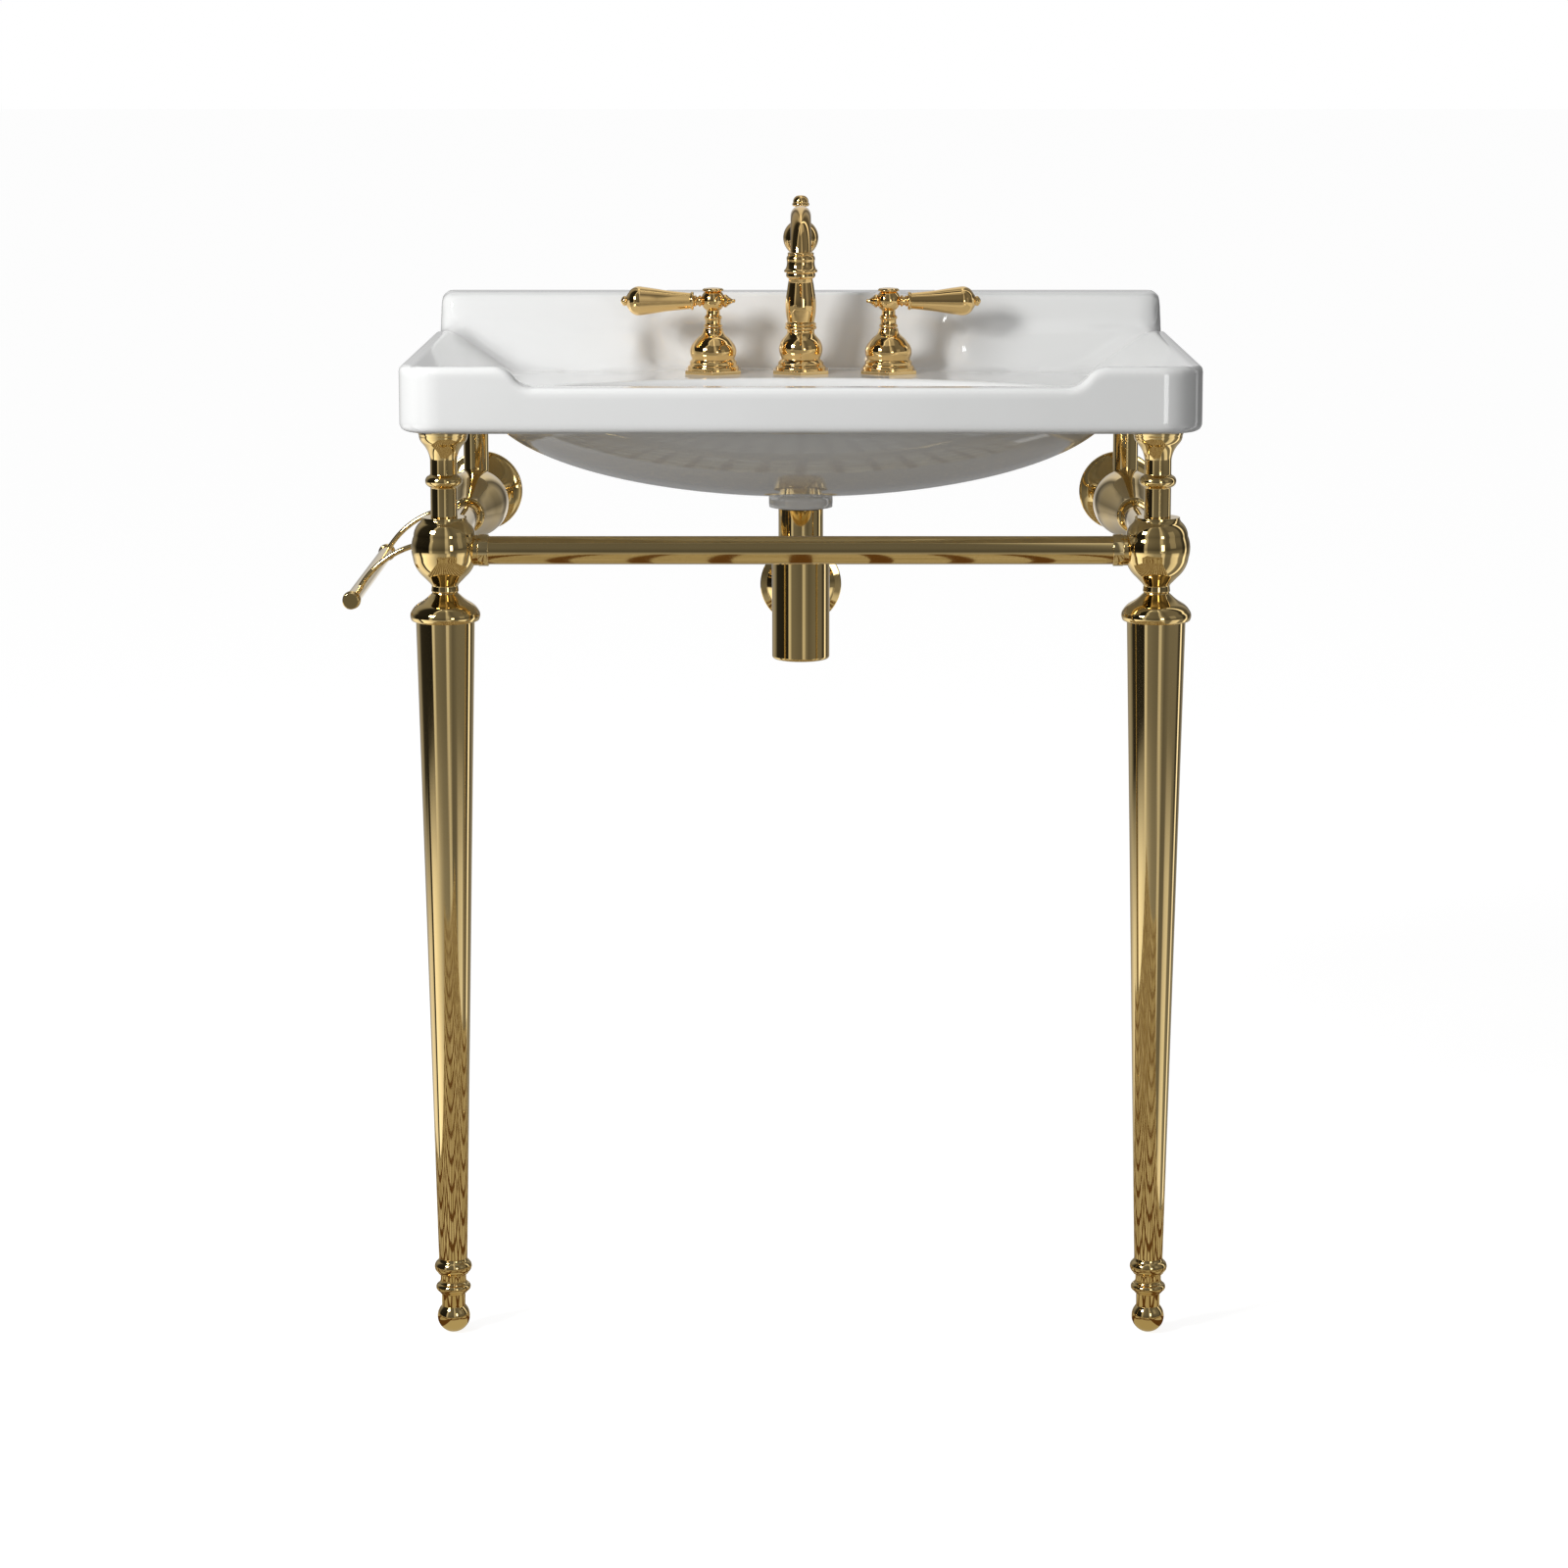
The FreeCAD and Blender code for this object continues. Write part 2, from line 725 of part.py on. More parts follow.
def cut_front_dip(body):
    """Dip the front rim between its two ogee curves."""
    inner, run = s.dip_half_width, s.dip_ogee_run / 2
    outer, rise = inner + run * 2, (s.ledge_rise - s.rim_rise) / 2
    sag = ogee_sag(run, rise)
    top, middle = s.backsplash_rise + CUT_PAST, s.rim_rise + rise
    profile = [
        (outer, top),
        (outer, s.ledge_rise),
        (outer - run / 2, s.ledge_rise - sag, outer - run, middle),
        (inner + run / 2, s.rim_rise + sag, inner, s.rim_rise),
        (-inner, s.rim_rise),
        (-(inner + run / 2), s.rim_rise + sag, run - outer, middle),
        (run / 2 - outer, s.ledge_rise - sag, -outer, s.ledge_rise),
        (-outer, top),
    ]
    wall = s.ledge_width + s.tray_front_slope
    prism(body, "XZ_Plane", profile, s.basin_depth - wall, wall + CUT_PAST, cut=True)


def rectangle(half_width, front, back):
    return [(-half_width, front), (half_width, front), (half_width, back), (-half_width, back)]


def cut_tray(body):
    """Sink the tray between the ledges, with sloping walls, down to the tap deck."""
    top_half = s.basin_width / 2 - s.ledge_width
    front = s.ledge_width - s.basin_depth
    deck = rectangle(top_half - s.tray_side_slope, front + s.tray_front_slope, -s.backsplash_foot)
    opening = rectangle(top_half, front, -s.backsplash_knee)
    loft_cut(body, [(s.deck_thickness, deck), (s.ledge_rise, opening)])
    edge = -(s.backsplash_thickness + s.ledge_cove_radius) - CUT_PAST
    lean = [
        (edge, s.ledge_rise),
        (-s.backsplash_knee, s.ledge_rise),
        (-s.backsplash_thickness, s.ledge_rise + s.ledge_cove_radius),
        (edge, s.ledge_rise + s.ledge_cove_radius),
    ]
    prism(body, "YZ_Plane", lean, -top_half, top_half * 2, cut=True)


def cut_tap_recess(body):
    """Set the backsplash back behind the taps, between two splayed steps."""
    half = s.recess_half_width

    def section(front, back, splay):
        return [(-half, -front), (half, -front), (half - splay, -back), (splay - half, -back)]

    foot = section(s.backsplash_foot + CUT_PAST, s.recess_foot, s.recess_splay_foot)
    top = section(s.backsplash_thickness + CUT_PAST, s.recess_top, s.recess_splay_top)
    loft_cut(body, [(s.deck_thickness, foot), (s.backsplash_rise, top)])


def cut_fixings(body):
    """Tap holes in the deck, and a nut pocket with a bolt hole on each side."""

    def tap_holes(sketch):
        for side in (-1, 0, 1):
            draw_circle(sketch, s.tap_spacing * side, -s.tap_from_wall, s.tap_hole_radius)

    extrude(body, "XY_Plane", tap_holes, -CUT_PAST, s.deck_thickness + 2 * CUT_PAST, cut=True)
    half, rise = s.bolt_pocket_width / 2, s.bolt_rise
    back, front = -s.bolt_wall, -(s.bolt_wall + s.bolt_pocket_depth)
    for side in SIDES.values():
        x = s.bolt_half_spacing * side
        pocket = [(x - half, front), (x + half, front), (x + half, back), (x - half, back)]
        prism(body, "XY_Plane", pocket, -CUT_PAST, s.bolt_pocket_rise + CUT_PAST, cut=True)
        hole = s.bolt_wall + 2 * CUT_PAST
        disc(body, "XZ_Plane", x, rise, s.bolt_hole_radius, -CUT_PAST, hole, cut=True)


def cut_waste(body):
    """The hole through the boss, and the shallow seat for the drain flange."""
    drop = s.boss_drop + CUT_PAST
    y = -bowl_from_wall
    disc(body, "XY_Plane", 0.0, y, s.waste_hole_radius, -drop, s.bowl_depth, cut=True)
    disc(body, "XY_Plane", 0.0, y, s.waste_recess_radius, waste_floor_rise, s.bowl_depth / 2, cut=True)


def is_bottom_edge(edge):
    return edge.BoundBox.ZMax < 1e-6 and edge.BoundBox.YMax < -1e-3


def is_backsplash_corner(edge):
    middle = edge.BoundBox.Center
    at_side = abs(abs(middle.x) - s.basin_width / 2) < 1e-3
    return at_side and abs(middle.z - s.backsplash_rise) < 1e-3 and edge.BoundBox.YLength > 1.0


def is_outer_top_edge(edge):
    """The outer edge of the rim and ledges, all round the front of the plan outline."""
    box = edge.BoundBox
    if box.ZMin < s.rim_rise - 1e-3 or box.ZMax > s.ledge_rise + 1e-3:
        return False
    if box.YMin > -(s.backsplash_thickness + s.ledge_cove_radius) - 1e-3:
        return False
    on_front = abs(box.YMin + s.basin_depth) < 1e-3 and box.YLength < s.plan_corner_radius + 1e-3
    on_side = abs(max(abs(box.XMin), abs(box.XMax)) - s.basin_width / 2) < 1e-3
    narrow = box.XLength < s.plan_corner_radius + 1e-3
    return on_front or (on_side and narrow)


def is_bowl_edge(edge):
    box = edge.BoundBox
    level = abs(box.ZMin - s.deck_thickness) < 1e-3 and box.ZLength < 1e-3
    return level and abs(box.XLength - 2 * bowl_half_length) < 1.0


def make_basin():
    body = new_body("basin")
    prism(body, "XY_Plane", basin_plan(), 0.0, s.backsplash_rise)
    round_edges(body, s.bottom_edge_radius, is_bottom_edge)
    centre = (0.0, -bowl_from_wall, s.belly_centre_rise)
    ellipsoid(body, "Additive", centre, belly_half_length, belly_half_width, s.belly_depth)
    boss_depth = s.boss_drop - s.belly_depth / 2
    disc(body, "XY_Plane", 0.0, -bowl_from_wall, s.boss_radius, -s.boss_drop, boss_depth)
    cut_ledges(body)
    cut_front_dip(body)
    round_edges(body, s.top_edge_radius, is_outer_top_edge)
    round_edges(body, s.backsplash_corner_radius, is_backsplash_corner)
    cut_tray(body)
    cut_tap_recess(body)
    centre = (0.0, -bowl_from_wall, s.deck_thickness)
    ellipsoid(body, "Subtractive", centre, bowl_half_length, bowl_half_width, s.bowl_depth)
    round_edges(body, s.bowl_edge_radius, is_bowl_edge)
    cut_waste(body)
    cut_fixings(body)
    keep("basin", place(body, 0.0, 0.0, s.underside_height))


def make_wall_fixings():
    """Four hanger bolts in the wall, and the two nuts that hold the basin on its pair."""
    studs = []
    for spacing, height in ((s.bolt_half_spacing, bolt_height), (leg_x, rail_height)):
        for side in SIDES.values():
            stud = turned("stud", [
                (0.0, -s.stud_in_wall),
                (s.stud_radius, -s.stud_in_wall),
                (s.stud_radius, 0.0),
                (s.stud_shank_radius, 0.0),
                (s.stud_shank_radius, s.stud_out_of_wall),
                (0.0, s.stud_out_of_wall),
            ])
            studs.append(place(stud, spacing * side, 0.0, height, TO_FRONT))
    group("wall_studs", studs)
    nuts = []
    for side in SIDES.values():
        bore = s.stud_shank_radius + s.running
        nut = turned("nut", ring(bore, s.basin_nut_flange_radius, s.basin_nut_flange_thickness))
        total = s.basin_nut_flange_thickness + s.basin_nut_thickness
        prism(nut, "XY_Plane", hexagon(s.basin_nut_radius), 0.0, total)
        disc(nut, "XY_Plane", 0.0, 0.0, bore, -CUT_PAST, total + 2 * CUT_PAST, cut=True)
        x = s.bolt_half_spacing * side
        nuts.append(place(nut, x, s.bolt_wall, bolt_height, TO_FRONT))
    group("basin_nuts", nuts)


# Waste with pop-up stopper


def make_drain():
    floor_height = s.underside_height + waste_floor_rise
    foot = drain_body_top - s.drain_stem_overlap
    stem = floor_height - foot
    top, seat = stem + s.drain_flange_thickness, stem + s.drain_flange_thickness - s.drain_seat_depth
    flange = turned("drain_flange", [
        (s.drain_stem_bore, 0.0),
        (s.drain_stem_radius, 0.0),
        (s.drain_stem_radius, stem),
        (s.drain_flange_radius, stem),
        (s.drain_flange_radius, stem + s.drain_flange_thickness / 2),
        (s.drain_flange_radius - s.drain_flange_thickness, top),
        (s.drain_seat_radius, top),
        (s.drain_seat_radius, seat),
        (s.drain_stem_bore, seat),
    ])
    keep("drain_flange", place(flange, 0.0, bowl_from_wall, foot))

    thread = s.drain_stem_radius + s.slip
    seal = turned("drain_seal", ring(thread, s.drain_body_radius, s.drain_seal_thickness))
    keep("drain_seal", place(seal, 0.0, bowl_from_wall, drain_body_top))

    socket = s.dip_tube_radius + s.slip
    shoulder = s.drain_body_length - s.drain_stem_overlap - CUT_PAST
    body = turned("drain_body", [
        (socket, 0.0),
        (s.drain_body_radius, 0.0),
        (s.drain_body_radius, s.drain_body_length),
        (thread, s.drain_body_length),
        (thread, shoulder),
        (socket, shoulder),
    ])
    rise, reach = s.pivot_above_body_foot, s.pivot_behind_drain
    inside = (s.drain_body_radius + socket) / 2
    disc(body, "XZ_Plane", 0.0, rise, s.pivot_boss_radius, -reach, reach - inside)
    bore = s.pivot_ball_radius + s.running
    disc(body, "XZ_Plane", 0.0, rise, bore, -reach - CUT_PAST, reach + CUT_PAST, cut=True)
    keep("drain_body", place(body, 0.0, bowl_from_wall, drain_body_foot))


def make_stopper():
    """The pop-up stopper, open at rest, hung on the pivot rod's inner end by its eye."""
    floor_height = s.underside_height + waste_floor_rise
    seat = floor_height + s.drain_flange_thickness - s.drain_seat_depth
    travel = s.pivot_behind_drain * rest_slope * 2
    cap = seat + s.running + travel - (stopper_eye_height - s.stopper_foot)
    stem, pole = s.stopper_stem_radius, s.pole_flat
    body = turned("pop_up_stopper", [
        (0.0, 0.0),
        (stem, 0.0),
        (stem, cap),
        (s.stopper_radius, cap),
        (s.stopper_radius, cap + s.stopper_thickness),
        (s.stopper_radius / 2, cap + s.stopper_thickness + s.stopper_crown * 0.75,
         pole, cap + s.stopper_thickness + s.stopper_crown),
        (0.0, cap + s.stopper_thickness + s.stopper_crown),
    ])
    reach, half = s.drain_stem_bore - s.running * 2, s.stopper_fin_thickness / 2
    for long_x, long_y in ((reach, half), (half, reach)):
        fin = [(-long_x, -long_y), (long_x, -long_y), (long_x, long_y), (-long_x, long_y)]
        prism(body, "XY_Plane", fin, cap - s.stopper_fin_height, s.stopper_fin_height)
    disc(body, "XZ_Plane", 0.0, s.stopper_foot, s.stopper_eye_radius, -2 * stem, 4 * stem, cut=True)
    height = stopper_eye_height - s.stopper_foot
    keep("pop_up_stopper", place(body, 0.0, bowl_from_wall, height))


def make_pivot():
    """The ball rod that works the stopper, and the nut that holds its ball."""
    rod = new_body("pivot_rod")
    front = s.pivot_behind_drain + s.pivot_rod_past_drain
    back = s.strap_behind_pivot + s.pivot_rod_past_strap
    disc(rod, "XZ_Plane", 0.0, 0.0, s.pivot_rod_radius, -back, front + back)
    ball = rod.newObject("PartDesign::AdditiveSphere", "ball")
    bind(ball, "Radius", s.pivot_ball_radius)
    place(rod, 0.0, pivot_from_wall, pivot_height, Rotation(Vector(1, 0, 0), -float(s.pivot_swing / 2)))
    rod.setExpression("Placement.Rotation.Angle", (-s.pivot_swing / 2).text)
    keep("pivot_rod", rod)

    bore = s.pivot_ball_radius + s.running
    mouth = s.pivot_ball_radius + s.rest_gap
    nut = turned("pivot_nut", [
        (bore, 0.0),
        (s.pivot_nut_radius, 0.0),
        (s.pivot_nut_radius, s.pivot_nut_length),
        (s.pivot_nut_mouth_radius, s.pivot_nut_length),
        (s.pivot_nut_mouth_radius, mouth),
        (bore, mouth),
    ])
    keep("pivot_nut", place(nut, 0.0, pivot_from_wall, pivot_height, TO_WALL))


def make_lift_rod():
    knob = s.lift_rod_below_deck + s.lift_knob_bottom
    ring_rise = knob + s.lift_knob_ring_rise
    rod = turned("lift_rod", [
        (0.0, 0.0),
        (s.lift_rod_radius, 0.0),
        (s.lift_rod_radius, knob),
        (s.lift_knob_foot_radius, knob),
        (s.lift_knob_foot_radius, knob + s.lift_knob_ring_rise / 3),
        (s.lift_knob_neck_radius, knob + s.lift_knob_ring_rise * 0.6),
        (s.lift_knob_neck_radius, ring_rise - 1.0),
        (s.lift_knob_ring_radius, ring_rise + 1.0, s.lift_knob_dome_radius, ring_rise + 3.0),
        (s.lift_knob_dome_radius * 0.72, knob + s.lift_knob_height - s.lift_knob_dome_radius * 0.3,
         s.pole_flat, knob + s.lift_knob_height),
        (0.0, knob + s.lift_knob_height),
    ])
    keep("lift_rod", place(rod, 0.0, lift_rod_from_wall, lift_rod_foot))


def make_strap():
    """The flat strap that hangs from the lift rod and carries the pivot rod's outer end."""
    thick, rod = s.strap_thickness, s.lift_rod_radius
    down = strap_from_wall - lift_rod_from_wall
    hole = strap_hole_height - lift_rod_foot
    bottom, bend = hole - s.strap_below_rod, hole + s.strap_bend_rise
    near, far = -down - thick / 2, -down + thick / 2
    level = bend + s.strap_slope_rise
    body = new_body("clevis_strap")
    profile = [
        (near, bottom),
        (far, bottom),
        (far, bend - thick),
        (rod + thick, level - thick),
        (rod + thick, s.strap_top_length),
        (rod, s.strap_top_length),
        (rod, level),
        (near, bend),
    ]
    prism(body, "YZ_Plane", profile, -s.strap_width / 2, s.strap_width)
    disc(body, "XY_Plane", 0.0, 0.0, s.clevis_radius, 0.0, s.clevis_length)
    bore = s.lift_rod_radius + s.running
    disc(body, "XY_Plane", 0.0, 0.0, bore, -CUT_PAST, s.strap_top_length, cut=True)
    disc(body, "XZ_Plane", 0.0, hole, s.strap_hole_radius, down - thick, 2 * thick, cut=True)
    keep("clevis_strap", place(body, 0.0, lift_rod_from_wall, lift_rod_foot))


# Bottle trap


def make_trap():
    outer, inner = s.bottle_radius, s.bottle_radius - s.bottle_wall
    edge = s.bottle_edge_radius
    bow = edge * MID_OF_QUARTER
    bottle = turned("trap_bottle", [
        (0.0, 0.0),
        (outer - edge, 0.0),
        (outer - bow, bow, outer, edge),
        (outer, s.bottle_length),
        (inner, s.bottle_length),
        (inner, s.bottle_base_thickness),
        (0.0, s.bottle_base_thickness),
    ])
    rise = s.bottle_length - s.outlet_below_bottle_top
    boss = s.outlet_boss_length
    inside = (outer + inner) / 2 * 0.72
    disc(bottle, "XZ_Plane", 0.0, rise, s.outlet_boss_radius, -boss, boss - inside)
    bore = s.outlet_pipe_radius + s.slip
    disc(bottle, "XZ_Plane", 0.0, rise, bore, -boss - CUT_PAST, boss, cut=True)
    core = inner - s.slip
    disc(bottle, "XY_Plane", 0.0, 0.0, inner, s.bottle_base_thickness, s.bottle_length, cut=True)
    keep("trap_bottle", place(bottle, 0.0, bowl_from_wall, bottle_foot))

    tube = s.dip_tube_radius + s.slip
    lid = turned("trap_lid", [
        (tube, -s.trap_lid_skirt),
        (core, -s.trap_lid_skirt),
        (core, 0.0),
        (outer, 0.0),
        (outer, s.trap_lid_thickness - edge),
        (outer - bow, s.trap_lid_thickness - bow, outer - edge, s.trap_lid_thickness),
        (tube, s.trap_lid_thickness),
    ])
    keep("trap_lid", place(lid, 0.0, bowl_from_wall, bottle_top))

    bottom = bottle_foot + s.bottle_base_thickness + s.dip_tube_above_bottom
    length = drain_body_foot + s.dip_tube_socket - bottom
    dip = turned("trap_dip_tube", ring(s.dip_tube_radius - s.dip_tube_wall, s.dip_tube_radius, length))
    keep("trap_dip_tube", place(dip, 0.0, bowl_from_wall, bottom))


def outlet_route():
    """Level, then down an S of two equal bends, then level into the wall."""
    bend, drop = s.outlet_bend_radius, s.outlet_drop
    cos_full = 1 - drop / (2 * bend)
    reach = bend * root(1 - cos_full * cos_full)
    half_sine = root((1 - cos_full) / 2)
    half_cosine = root((1 + cos_full) / 2)
    near, far = bend * half_sine, bend * (1 - half_cosine)
    first, end = s.outlet_straight, bowl_from_wall - s.outlet_pipe_start + s.outlet_in_wall
    middle, last = first + reach, first + reach * 2
    return [
        (0.0, 0.0),
        (first, 0.0),
        (first + near, -far, middle, -drop / 2),
        (last - near, far - drop, last, -drop),
        (end, -drop),
    ]


def draw_route(sketch, points):
    """An open run of lines and arcs, fixed point by point."""
    for before, point in zip(points, points[1:]):
        edge, start, end = draw_step(sketch, before, point)
        for where, corner in ((before, start), (point, end)):
            fix(sketch, "DistanceX", where[-2], -1, 1, edge, corner)
            fix(sketch, "DistanceY", where[-1], -1, 1, edge, corner)


def pipe(body, profile_role, radius, bore, route):
    """A tube whose round section follows a route in the YZ plane."""
    section = sketch_on(body, profile_role)
    draw_circle(section, 0.0, 0.0, radius)
    draw_circle(section, 0.0, 0.0, bore)
    spine = sketch_on(body, "YZ_Plane")
    draw_route(spine, route)
    feature = body.newObject("PartDesign::AdditivePipe", "pipe")
    feature.Profile = section
    feature.Spine = (spine, [f"Edge{i}" for i in range(1, len(route))])
    feature.Mode = "Standard"
    return feature


def make_outlet():
    body = new_body("trap_outlet_pipe")
    inner = s.outlet_pipe_radius - s.outlet_pipe_wall
    route = outlet_route()
    pipe(body, "XZ_Plane", s.outlet_pipe_radius, inner, route)
    end, level = route[-1]

    def spigot(sketch):
        draw_circle(sketch, 0.0, level, s.outlet_spigot_radius)
        draw_circle(sketch, 0.0, level, s.outlet_pipe_radius * 2)

    extrude(body, "XZ_Plane", spigot, -end - CUT_PAST, s.outlet_spigot_length + CUT_PAST, cut=True)
    start = bowl_from_wall - s.outlet_pipe_start
    keep("trap_outlet_pipe", place(body, 0.0, start, outlet_height))

    on_boss, on_pipe = s.outlet_boss_radius + s.slip, s.outlet_pipe_radius + s.slip
    nut = turned("trap_outlet_nut", [
        (on_boss, 0.0),
        (s.outlet_nut_radius, 0.0),
        (s.outlet_nut_radius, s.outlet_nut_length - 4.0),
        (s.outlet_nut_radius - 2.5, s.outlet_nut_length),
        (on_pipe, s.outlet_nut_length),
        (on_pipe, s.outlet_nut_on_boss),
        (on_boss, s.outlet_nut_on_boss),
    ])
    start = bowl_from_wall - s.outlet_boss_length + s.outlet_nut_on_boss
    keep("trap_outlet_nut", place(nut, 0.0, start, outlet_height, TO_WALL))

    plate = turned("trap_escutcheon", [
        (on_pipe, 0.0),
        (s.escutcheon_radius, 0.0),
        (s.escutcheon_radius, s.escutcheon_lip),
        (s.escutcheon_dome_radius, s.escutcheon_lip * 2),
        ((s.escutcheon_dome_radius + on_pipe) / 2 + 4.0, s.escutcheon_depth * 0.72,
         on_pipe + 1.0, s.escutcheon_depth),
        (on_pipe, s.escutcheon_depth),
    ])
    keep("trap_escutcheon", place(plate, 0.0, 0.0, wall_waste_height, TO_FRONT))


# Taps


def make_bell(name, x):
    """Hexagonal flange, round tier and bell, hollow over the valve."""
    over_shank = s.shank_radius + s.slip
    over_bonnet = s.valve_bonnet_radius + s.slip
    ceiling = s.valve_shoulder_rise + s.slip
    body = turned(name, [
        (over_shank, 0.0),
        (s.tier_radius, 0.0),
        (s.tier_radius, s.tier_top),
        (s.bell_radius, s.bell_shoulder_rise),
        (s.bell_radius + s.bell_bulge, s.bell_bulge_rise, s.bell_waist_radius, s.bell_waist_rise),
        (s.bell_top_radius, s.bell_top_rise),
        (over_bonnet, s.bell_top_rise),
        (over_bonnet, ceiling),
        (over_shank, ceiling),
    ])
    prism(body, "XY_Plane", hexagon(s.flange_corner_radius), 0.0, s.flange_thickness)
    disc(body, "XY_Plane", 0.0, 0.0, over_shank, -CUT_PAST, s.tier_top, cut=True)
    keep(name, place(body, x, s.tap_from_wall, deck_height))


def make_valve(name, x, side):
    """Threaded valve body: inlet below, side port towards the spout, stem bore above."""
    drop = s.valve_below_deck
    stem = s.stem_radius + s.running
    body = turned(name, [
        (0.0, s.inlet_bore_depth),
        (s.valve_bore_radius, s.inlet_bore_depth),
        (s.valve_bore_radius, 0.0),
        (s.inlet_radius, 0.0),
        (s.inlet_radius, s.inlet_length),
        (s.shank_radius, s.inlet_length),
        (s.shank_radius, drop + s.valve_shoulder_rise),
        (s.valve_bonnet_radius, drop + s.valve_shoulder_rise),
        (s.valve_bonnet_radius, drop + s.valve_bonnet_rise),
        (stem, drop + s.valve_bonnet_rise),
        (stem, drop + s.stem_bottom_rise - s.rest_gap),
        (0.0, drop + s.stem_bottom_rise - s.rest_gap),
    ])
    level = drop - s.port_below_deck
    near = s.valve_bore_radius + 1.0
    start = near if side == LEFT else -s.port_reach
    disc(body, "YZ_Plane", -s.port_forward, level, s.port_radius, start, s.port_reach - near)
    keep(name, place(body, x, s.tap_from_wall, deck_height - drop))


def lever_profile(side):
    """The lever along its own axis, from the tail's point to the bead at the grip's end."""
    outline = [
        (-s.lever_tail_reach, 0.0),
        (-s.lever_tail_reach, s.lever_tip_radius),
        (-s.lever_ball_radius, s.lever_tail_radius),
        (-s.lever_ball_radius + 3.0, s.lever_tail_radius),
        (s.lever_ball_radius - 2.0, s.lever_stalk_radius),
        (s.lever_collar_start, s.lever_stalk_radius),
        (s.lever_collar_start, s.lever_collar_radius),
        (s.lever_collar_start + s.lever_collar_width, s.lever_collar_radius),
        (s.lever_collar_start + s.lever_collar_width + 1.5, s.lever_grip_start_radius),
        (s.lever_grip_mid_reach, s.lever_grip_mid_radius),
        (s.lever_grip_reach, s.lever_grip_radius, s.lever_grip_end_reach, s.lever_grip_end_radius),
        (s.lever_grip_end_reach + 1.0, s.lever_bead_end_radius - 0.6),
        (s.lever_reach - 1.3, s.lever_bead_end_radius - 0.8, s.lever_reach, s.pole_flat),
        (s.lever_reach, 0.0),
    ]
    turned_round = []
    for point in outline:
        flipped = [value * side if index % 2 == 0 else value for index, value in enumerate(point)]
        turned_round.append(tuple(flipped))
    return turned_round


def make_lever(name, x, side):
    """The part of a tap that turns: neck rings, ball, cap, lever and stem."""
    bore, bottom = s.stem_radius + s.running * 2, s.bell_top_rise + s.rest_gap
    ring_top = bottom + s.lever_ring_width
    bead_foot = ring_top + s.lever_neck_length
    bead_top = bead_foot + s.lever_bead_width
    ball, rise, throat = s.lever_ball_radius, s.lever_ball_rise, s.lever_throat_radius
    ball_foot = rise - root(ball * ball - throat * throat)
    flat = s.lever_ball_flat
    flat_radius = root(ball * ball - flat * flat)
    body = turned(name, [
        (bore, bottom),
        (s.lever_neck_radius, bottom),
        bead(s.lever_ring_radius, s.lever_neck_radius, bottom, s.lever_ring_width),
        (s.lever_neck_radius, bead_foot),
        bead(s.lever_bead_radius, throat, bead_foot, s.lever_bead_width),
        (throat, bead_top + (ball_foot - bead_top) / 2),
        (throat, ball_foot),
        (ball, rise, flat_radius, rise + flat),
        (0.0, rise + flat),
        (0.0, s.stem_top_rise),
        (bore, s.stem_top_rise),
    ])
    revolve(body, lever_profile(side), "H_Axis", s.lever_axis_rise)
    disc(body, "XY_Plane", 0.0, 0.0, bore, s.bell_top_rise, s.stem_top_rise - s.bell_top_rise, cut=True)
    keep(name, place(body, x, s.tap_from_wall, deck_height))

    cap = s.lever_cap_thickness
    button = turned(name + "_cap", [
        (0.0, 0.0),
        (s.lever_cap_radius, 0.0),
        (s.lever_cap_radius, cap * 0.6),
        (s.lever_cap_radius - cap / 2, cap),
        (0.0, cap),
    ])
    height = deck_height + rise + flat
    keep(name + "_cap", place(button, x, s.tap_from_wall, height))


def make_stem(name, x):
    stem = straight_rod(name, s.stem_radius, s.stem_top_rise - s.stem_bottom_rise)
    keep(name, place(stem, x, s.tap_from_wall, deck_height + s.stem_bottom_rise))


def make_taps():
    for tap, side in TAPS.items():
        x = s.tap_spacing * side
        make_bell(tap + "_bell", x)
        make_valve(tap + "_valve", x, side)
        make_lever(tap + "_lever", x, side)
        make_stem(tap + "_stem", x)
    nuts, tubes = [], []
    for side in (LEFT, 0, RIGHT):
        nut = new_body("tap_nut")
        prism(nut, "XY_Plane", hexagon(s.tap_nut_radius), 0.0, s.tap_nut_thickness)
        bore = s.shank_radius + s.running
        disc(nut, "XY_Plane", 0.0, 0.0, bore, -CUT_PAST, s.tap_nut_thickness + 2 * CUT_PAST, cut=True)
        height = s.underside_height - s.tap_nut_thickness
        nuts.append(place(nut, s.tap_spacing * side, s.tap_from_wall, height))
    group("tap_locknuts", nuts)
    for side in TAPS.values():
        tube = straight_rod("mixer_tube", s.mixer_tube_radius, s.tap_spacing - 2 * s.port_reach)
        start = s.port_reach if side == RIGHT else s.port_reach - s.tap_spacing
        from_wall = s.tap_from_wall + s.port_forward
        tubes.append(place(tube, start, from_wall, deck_height - s.port_below_deck, TO_RIGHT))
    group("mixer_tubes", tubes)


# Spout


